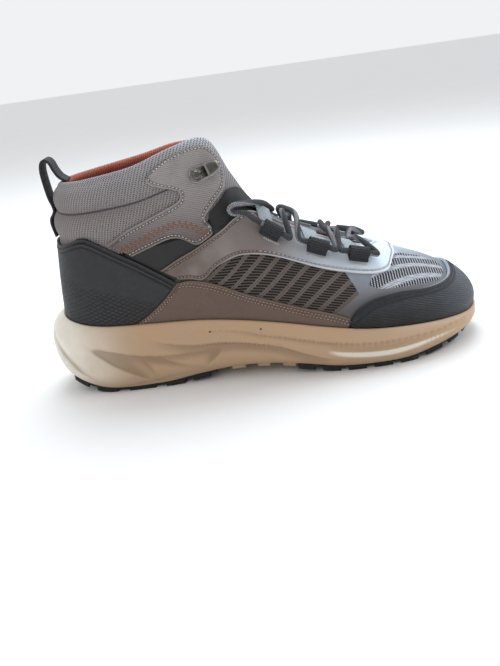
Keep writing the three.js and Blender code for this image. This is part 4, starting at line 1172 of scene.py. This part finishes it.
lace = {
    "diameter": 3.8, "edgeShift": 0.42, "throatEdge": 0.95, "bendStart": 0.58,
    "first": [(0, -1, 1, (3, 3, 2)), (1, 1, 1, (2, 3, 4)), (2, -1, 1, None)],
    "second": [(2, -1, 1, (1.6, 1, 1.6)), (2, 1, -1, (2, 3, 3)), (1, -1, -1, (5, 7.5, 3)), (0, 1, -1, None)],
    "bight": [(97.5, -38, 112.3), (93.5, -39.2, 113.4), (89.6, -39.8, 114), (88.2, -39.6, 116.1),
              (90.4, -38.9, 118.2), (94.6, -36.8, 118.3), (99.6, -33, 117.6), (106.4, -25.5, 115.5),
              (110.5, -15, 111.9), (113.7, -2, 106.6), (115.8, 9, 102.3), (114.5, 18, 100.5),
              (110, 26, 99.5)],
}
laceEnd = keeper["width"] / 2 + lace["diameter"] / 2
straightHalf = keeper["width"] / 2 + 1.6 * lace["diameter"]
laceRise = lace["diameter"] / 2 + 2 * clearance


def overEdge(station, side, lift):
    return skin(onSide(station, side), lace["throatEdge"], clearance + overlay + lift)


def overCrown(station, lift):
    return tongueLine(station)[4] + crownUp(station) * (lace["diameter"] / 2 + lift)


def strandPoints(passes, start, end):
    points = []
    for k, (index, side, way, lifts) in enumerate(passes):
        begin, stop = (start if k == 0 else -straightHalf), (straightHalf if lifts else end)
        stops = list(dict.fromkeys([begin, lace["bendStart"] * begin, 0, lace["bendStart"] * stop, stop]))
        points += [onAxis(index, side, way * place) for place in stops]
        if lifts:
            nextIndex, nextSide, nextWay = passes[k + 1][:3]
            leave = keeper["places"][index][0] + lace["edgeShift"] * way
            reach = keeper["places"][nextIndex][0] - lace["edgeShift"] * nextWay
            points += [overEdge(leave, side, laceRise + lifts[0]),
                       overCrown((leave + reach) / 2, laceRise + lifts[1]),
                       overEdge(reach, nextSide, laceRise + lifts[2])]
    return points


first = smoothPath(strandPoints(lace["first"], -laceEnd, 0.0), 10)
second = smoothPath(strandPoints(lace["second"], 0.0, laceEnd), 10)
addPiece("laceStrand.first", tube(first, lace["diameter"]), looks["lace"], ["lace_crossings"])
addPiece("laceStrand.second", tube(second, lace["diameter"]), looks["lace"], ["lace_crossings"])
bight = smoothPath([onAxis(0, -1, -(laceEnd + clearance)), onAxis(0, -1, -(laceEnd + lace["diameter"])),
                    *lace["bight"],
                    onAxis(0, 1, -(laceEnd + lace["diameter"])), onAxis(0, 1, -(laceEnd + clearance))], 10)
freeLace = addPiece("laceBight", tube(bight, lace["diameter"]), looks["lace"], ["lace_bight"])

# Speed hooks
hook = {"place": (4.68, 0.81), "turn": 0.25, "width": 8, "plate": 1.1, "length": 17, "gap": 4.4,
        "fold": 6.5, "rivet": 8, "rivetHeight": 2.6, "petal": 4.5, "tip": 0.985}


def hookHalf(onward):  # round around the rivet, then like a petal to the bend
    wide, reach = hook["petal"], hook["length"] / 2 + hook["gap"] / 2 + hook["plate"]
    rivetAt = hook["rivet"] / 2 + clearance - hook["length"] / 2
    behind = np.clip(rivetAt - onward, 0, wide * 0.96)
    ahead = np.clip(onward / reach, 0, 1) * hook["tip"]
    return np.sqrt(wide**2 - behind**2) * np.sqrt(1 - ahead**2)


for side, label in sides:
    axes, origin = standAt(hook["place"], side, hook["length"] / 2, hook["width"] / 2)
    turn = (1 if side < 0 else -1) * (hook["turn"] - math.pi / 2)
    axes = np.stack([axes[0] * math.cos(turn) + axes[1] * math.sin(turn),
                     axes[1] * math.cos(turn) - axes[0] * math.sin(turn), axes[2]])
    half, bend = hook["length"] / 2, hook["gap"] / 2 + hook["plate"]
    arc = np.radians(np.linspace(-75, 75, 8))
    route = [(place, hook["plate"]) for place in (-half, -half / 2, 0, half - 0.6)]
    inner = bend - hook["plate"]
    route += [(half + inner * math.cos(k), bend + inner * math.sin(k)) for k in arc]
    route += [(half - 1, 2 * bend - hook["plate"]), (half - hook["fold"], 2 * bend - hook["plate"] - 0.3)]
    stripPiece(f"speedHook.{label}", route, axes, origin, hookHalf, hook["plate"], looks["metal"],
               [f"speed_hook_{label}"], columns=90, side=1)
    bm = bmesh.new()
    radius, high = hook["rivet"] / 2, hook["rivetHeight"]
    profile = [(0, 0), (radius, 0), (radius, 0.5), (radius * 0.9, 0.9), (radius * 0.74, 1.0),
               (radius * 0.7, 1.5), (radius * 0.6, high * 0.85), (radius * 0.42, high),
               (radius * 0.2, high * 0.96), (0, high * 0.93)]
    verts = [bm.verts.new((x, 0, z)) for x, z in profile]
    edges = [bm.edges.new(pair) for pair in zip(verts, verts[1:])]
    bmesh.ops.spin(bm, geom=verts + edges, cent=(0, 0, 0), axis=(0, 0, 1), dvec=(0, 0, 0), angle=2 * math.pi,
                   steps=32, use_merge=True)
    bmesh.ops.remove_doubles(bm, verts=bm.verts[:], dist=1e-5)
    shift = np.array([0, radius + clearance - half, hook["plate"] + clearance])
    for vert in bm.verts:
        vert.co = (origin + (np.array(vert.co) + shift) @ axes) * mm
    addPiece(f"hookRivet.{label}", bm, looks["metal"], [f"hook_rivet_{label}"])
print("hooks made")

# Pull loop at the heel: x from the heel's top edge, z from the collar's height there
pullLoop = {
    "width": 14, "thickness": 1.7, "sewn": (0.57, 0.64, 0.7),
    "route": [(-5.2, -15.5), (-6.9, -6.5), (-7.8, 2.5), (-8, 10.5), (-6.7, 15.7), (-4.1, 17.2), (-1.5, 15.2),
              (0.4, 10), (3, 5.4), (7.3, 2.2)],
}
top = lastPoint(0, 1)
backOf = [skin(0, v, clearance + pullLoop["thickness"] / 2)[[0, 2]] for v in pullLoop["sewn"]]
loopRoute = np.array([*backOf, *[(top[0] + x, top[2] + z) for x, z in pullLoop["route"]]])


def loopPlace(s, t):
    line = splineAt(loopRoute, s)
    step = 0.003
    ahead = unit(splineAt(loopRoute, np.minimum(s + step, 1)) - splineAt(loopRoute, np.maximum(s - step, 0)))
    outside = np.stack([-ahead[..., 1], ahead[..., 0]], -1) * pullLoop["thickness"] / 2
    edge = line + outside
    return np.stack([edge[..., 0], (2 * t - 1) * pullLoop["width"] / 2, edge[..., 1]], -1)


bm = gridMesh(110, 12, loopPlace, edgeMarks(loopPlace))
addPiece("heelPullLoop", bm, looks["webbing"], ["heel_pull_loop"],
         solid=pullLoop["thickness"], bevel=0.4)


# Stitches: small threads laid along lines on the skin
def valuesAt(stops, total, values):  # values of a line at some lengths along it
    return np.stack([np.interp(stops, total, values[:, k]) for k in range(3)], -1)


def stitchRow(bm, points, normals, pitch=2.9, length=2.0, thick=0.62):
    total = lengthsAlong(points)
    for place in np.arange(pitch / 2, total[-1], pitch):
        spot, ahead = (valuesAt(stop, total, points) for stop in (place, place + 0.5))
        laid(bm, spot, ahead - spot, unit(valuesAt(place, total, normals)), length, thick)


def laid(bm, spot, tangent, out, length, thick):
    if np.linalg.norm(tangent) < 1e-6:
        return
    tangent = unit(tangent)
    across = unit(np.cross(out, tangent))
    basis = Matrix(np.stack([tangent * length, across * thick, out * thick * 0.8], 1) * mm / 2).to_4x4()
    bmesh.ops.create_uvsphere(bm, u_segments=6, v_segments=4, radius=1,
                              matrix=Matrix.Translation(Vector(spot * mm)) @ basis)


def skinLine(places, offset, samples=160):
    line = splineAt(places, np.linspace(0, 1, samples))
    return skin(line[:, 0], line[:, 1], offset), lastNormal(line[:, 0], np.clip(line[:, 1], 0, 1))


def insetLine(outline, edge, inset, part=(0, 1)):
    # the line that lies a distance inside one edge of a panel
    run, walk = np.linspace(*part, 200), np.linspace(0, 1, 121)
    onRows = edge in ("low", "high")
    s, t = np.meshgrid(run, walk) if onRows else np.meshgrid(walk, run)
    far = dict(zip(edgeNames, fromEdges(skin(*panelPlaces(outline, s, t)))))[edge]
    far = far.T if onRows else far
    step = 1 if edge in ("low", "first") else -1
    found = np.array([np.interp(inset, row[::step], walk[::step]) for row in far])
    s, t = (run, found) if onRows else (found, run)
    places = np.stack(panelPlaces(outline, s[None], t[None]), -1)[0]
    return [tuple(p) for p in [*places[::6], places[-1]]]


def onBothSides(places):
    return places, [(around - u, v) for u, v in places]


def sew(name, rows, material):
    bm = bmesh.new()
    for places, offset, options in rows:
        for turned in onBothSides(places):
            points, normals = skinLine(turned, offset + 0.12)
            stitchRow(bm, points, normals, **options)
    addPiece(name, bm, material)


def zigzag(bm, places, offset, half, pitch, thick):  # even zigzag on both sides of the shoe
    for turned in onBothSides(places):
        points, normals = skinLine(turned, offset, 400)
        total = lengthsAlong(points)
        stops = np.arange(0, total[-1], pitch / 2)
        spots, outs = (valuesAt(stops, total, values) for values in (points, normals))
        across = unit(np.cross(outs, np.gradient(spots, axis=0)))
        spots = spots + across * half * np.where(np.arange(len(stops)) % 2, 1, -1)[:, None]
        for a, b, out in zip(spots, spots[1:], outs):
            laid(bm, (a + b) / 2, b - a, out, np.linalg.norm(b - a) * 1.12, thick)


onPanel, onCap, seam = clearance + overlay, clearance + shoe["capThickness"], seamAt["panel"][0]
stay, strip, ankle = outlines["eyestay"], outlines["strip"], outlines["ankle"]
fine = {"pitch": 2.3, "length": 1.55, "thick": 0.6}
sew("paleStitches", [
    (insetLine(stay, "low", seam, part=(0.36, 1)), onPanel, {}),
    (insetLine(stay, "high", seam, part=(0.3, 0.42)), onPanel, {}),
    (insetLine(ankle, "low", seam, part=(0.0, 0.97)), onPanel, fine),
    (insetLine(ankle, "high", seam, part=(0.03, 0.97)), onPanel, fine),
], looks["paleThread"])
sew("taupeStitches", [
    (insetLine(stay, "low", seam, part=(0, 0.36)), onPanel, fine),
    (insetLine(stay, "high", seam, part=(0.02, 0.3)), onPanel, fine),
    *[(insetLine(strip, edge, inset, part=part), onPanel, fine)
      for inset in seamAt["strip"] for edge, part in (("high", (0.06, 1)), ("first", (0.45, 0.9)))],
], looks["taupeThread"])
sew("capStitches", [
    (insetLine(outlines["toeCap"], "high", inset), onCap, {"pitch": 2.4, "length": 1.8, "thick": 0.6})
    for inset in seamAt["toeCap"]], looks["darkThread"])
sew("collarStitches", [([(k / 4, upper["rollSeam"]) for k in range(14)], -0.1, fine)],
    looks["greyThread"])
bm = bmesh.new()
zigzag(bm, [(2.62, 0.508), (3.23, 0.564), (3.78, 0.583), (4.10, 0.571), (4.50, 0.521), (4.78, 0.477)],
       onPanel + 0.12, 2.3, 3.4, 0.55)
addPiece("rustZigzag", bm, looks["rustThread"])
bm = bmesh.new()
for station, v in keeper["places"]:  # white stitches under each lace keeper
    below = v - (keeper["length"] + 1.3) / np.interp(station, arcStops, girths)
    reach = 6 / stationLength(station, v)
    zigzag(bm, [(station + reach * k, below) for k in (-1, -0.5, 0, 0.5, 1)], onPanel + 0.15, 0.8, 1.3, 0.45)
addPiece("keeperStitches", bm, looks["paleThread"])
print("stitches made")


# Floor and light
def makeStudio():
    look = Look("paleFloor")
    look.set({"Base Color": look.mix(look.noise(160, 3), (0.9, 0.9, 0.9, 1), (0.93, 0.93, 0.93, 1)),
              "Roughness": 0.9})
    bm = bmesh.new()
    bmesh.ops.create_grid(bm, x_segments=1, y_segments=1, size=6)
    floor = addObject("floor", meshOf("floor", bm))
    floor.data.materials.append(look.material)
    world = bpy.data.worlds.new("studio")
    world.use_nodes = True
    nodes, links = world.node_tree.nodes, world.node_tree.links
    nodes["Background"].inputs[0].default_value = (0.97, 0.985, 1.0, 1)
    spot, split, bright = (nodes.new(f"ShaderNode{kind}") for kind in ("TexCoord", "SeparateXYZ", "MapRange"))
    links.new(spot.outputs["Generated"], split.inputs[0])
    links.new(split.outputs["Y"], bright.inputs[0])
    for k, value in enumerate((-1, 0.2, 0.4, 0.9)):  # dimmer on the camera's side
        bright.inputs[k + 1].default_value = value
    links.new(bright.outputs[0], nodes["Background"].inputs[1])
    bpy.context.scene.world = world
    for name, place, power, size, colour in (
            ("sky", (0.15, 0.45, 0.9), 7.5, 0.7, (0.86, 0.93, 1.0)),
            ("front", (-0.35, -0.9, 0.55), 1.8, 0.8, (1.0, 0.94, 0.88)),
            ("toeSide", (0.9, 0.1, 0.5), 2.2, 0.5, (0.92, 0.96, 1.0))):
        light = addObject(name, bpy.data.lights.new(name, "AREA"))
        light.data.energy, light.data.size, light.data.color = power, size, colour
        light.location = place
        light.rotation_euler = (Vector((0.1, 0, 0.06)) - Vector(place)).to_track_quat("-Z", "Y").to_euler()


makeStudio()
bpy.context.scene.view_settings.view_transform = "Standard"
print("scene ready")
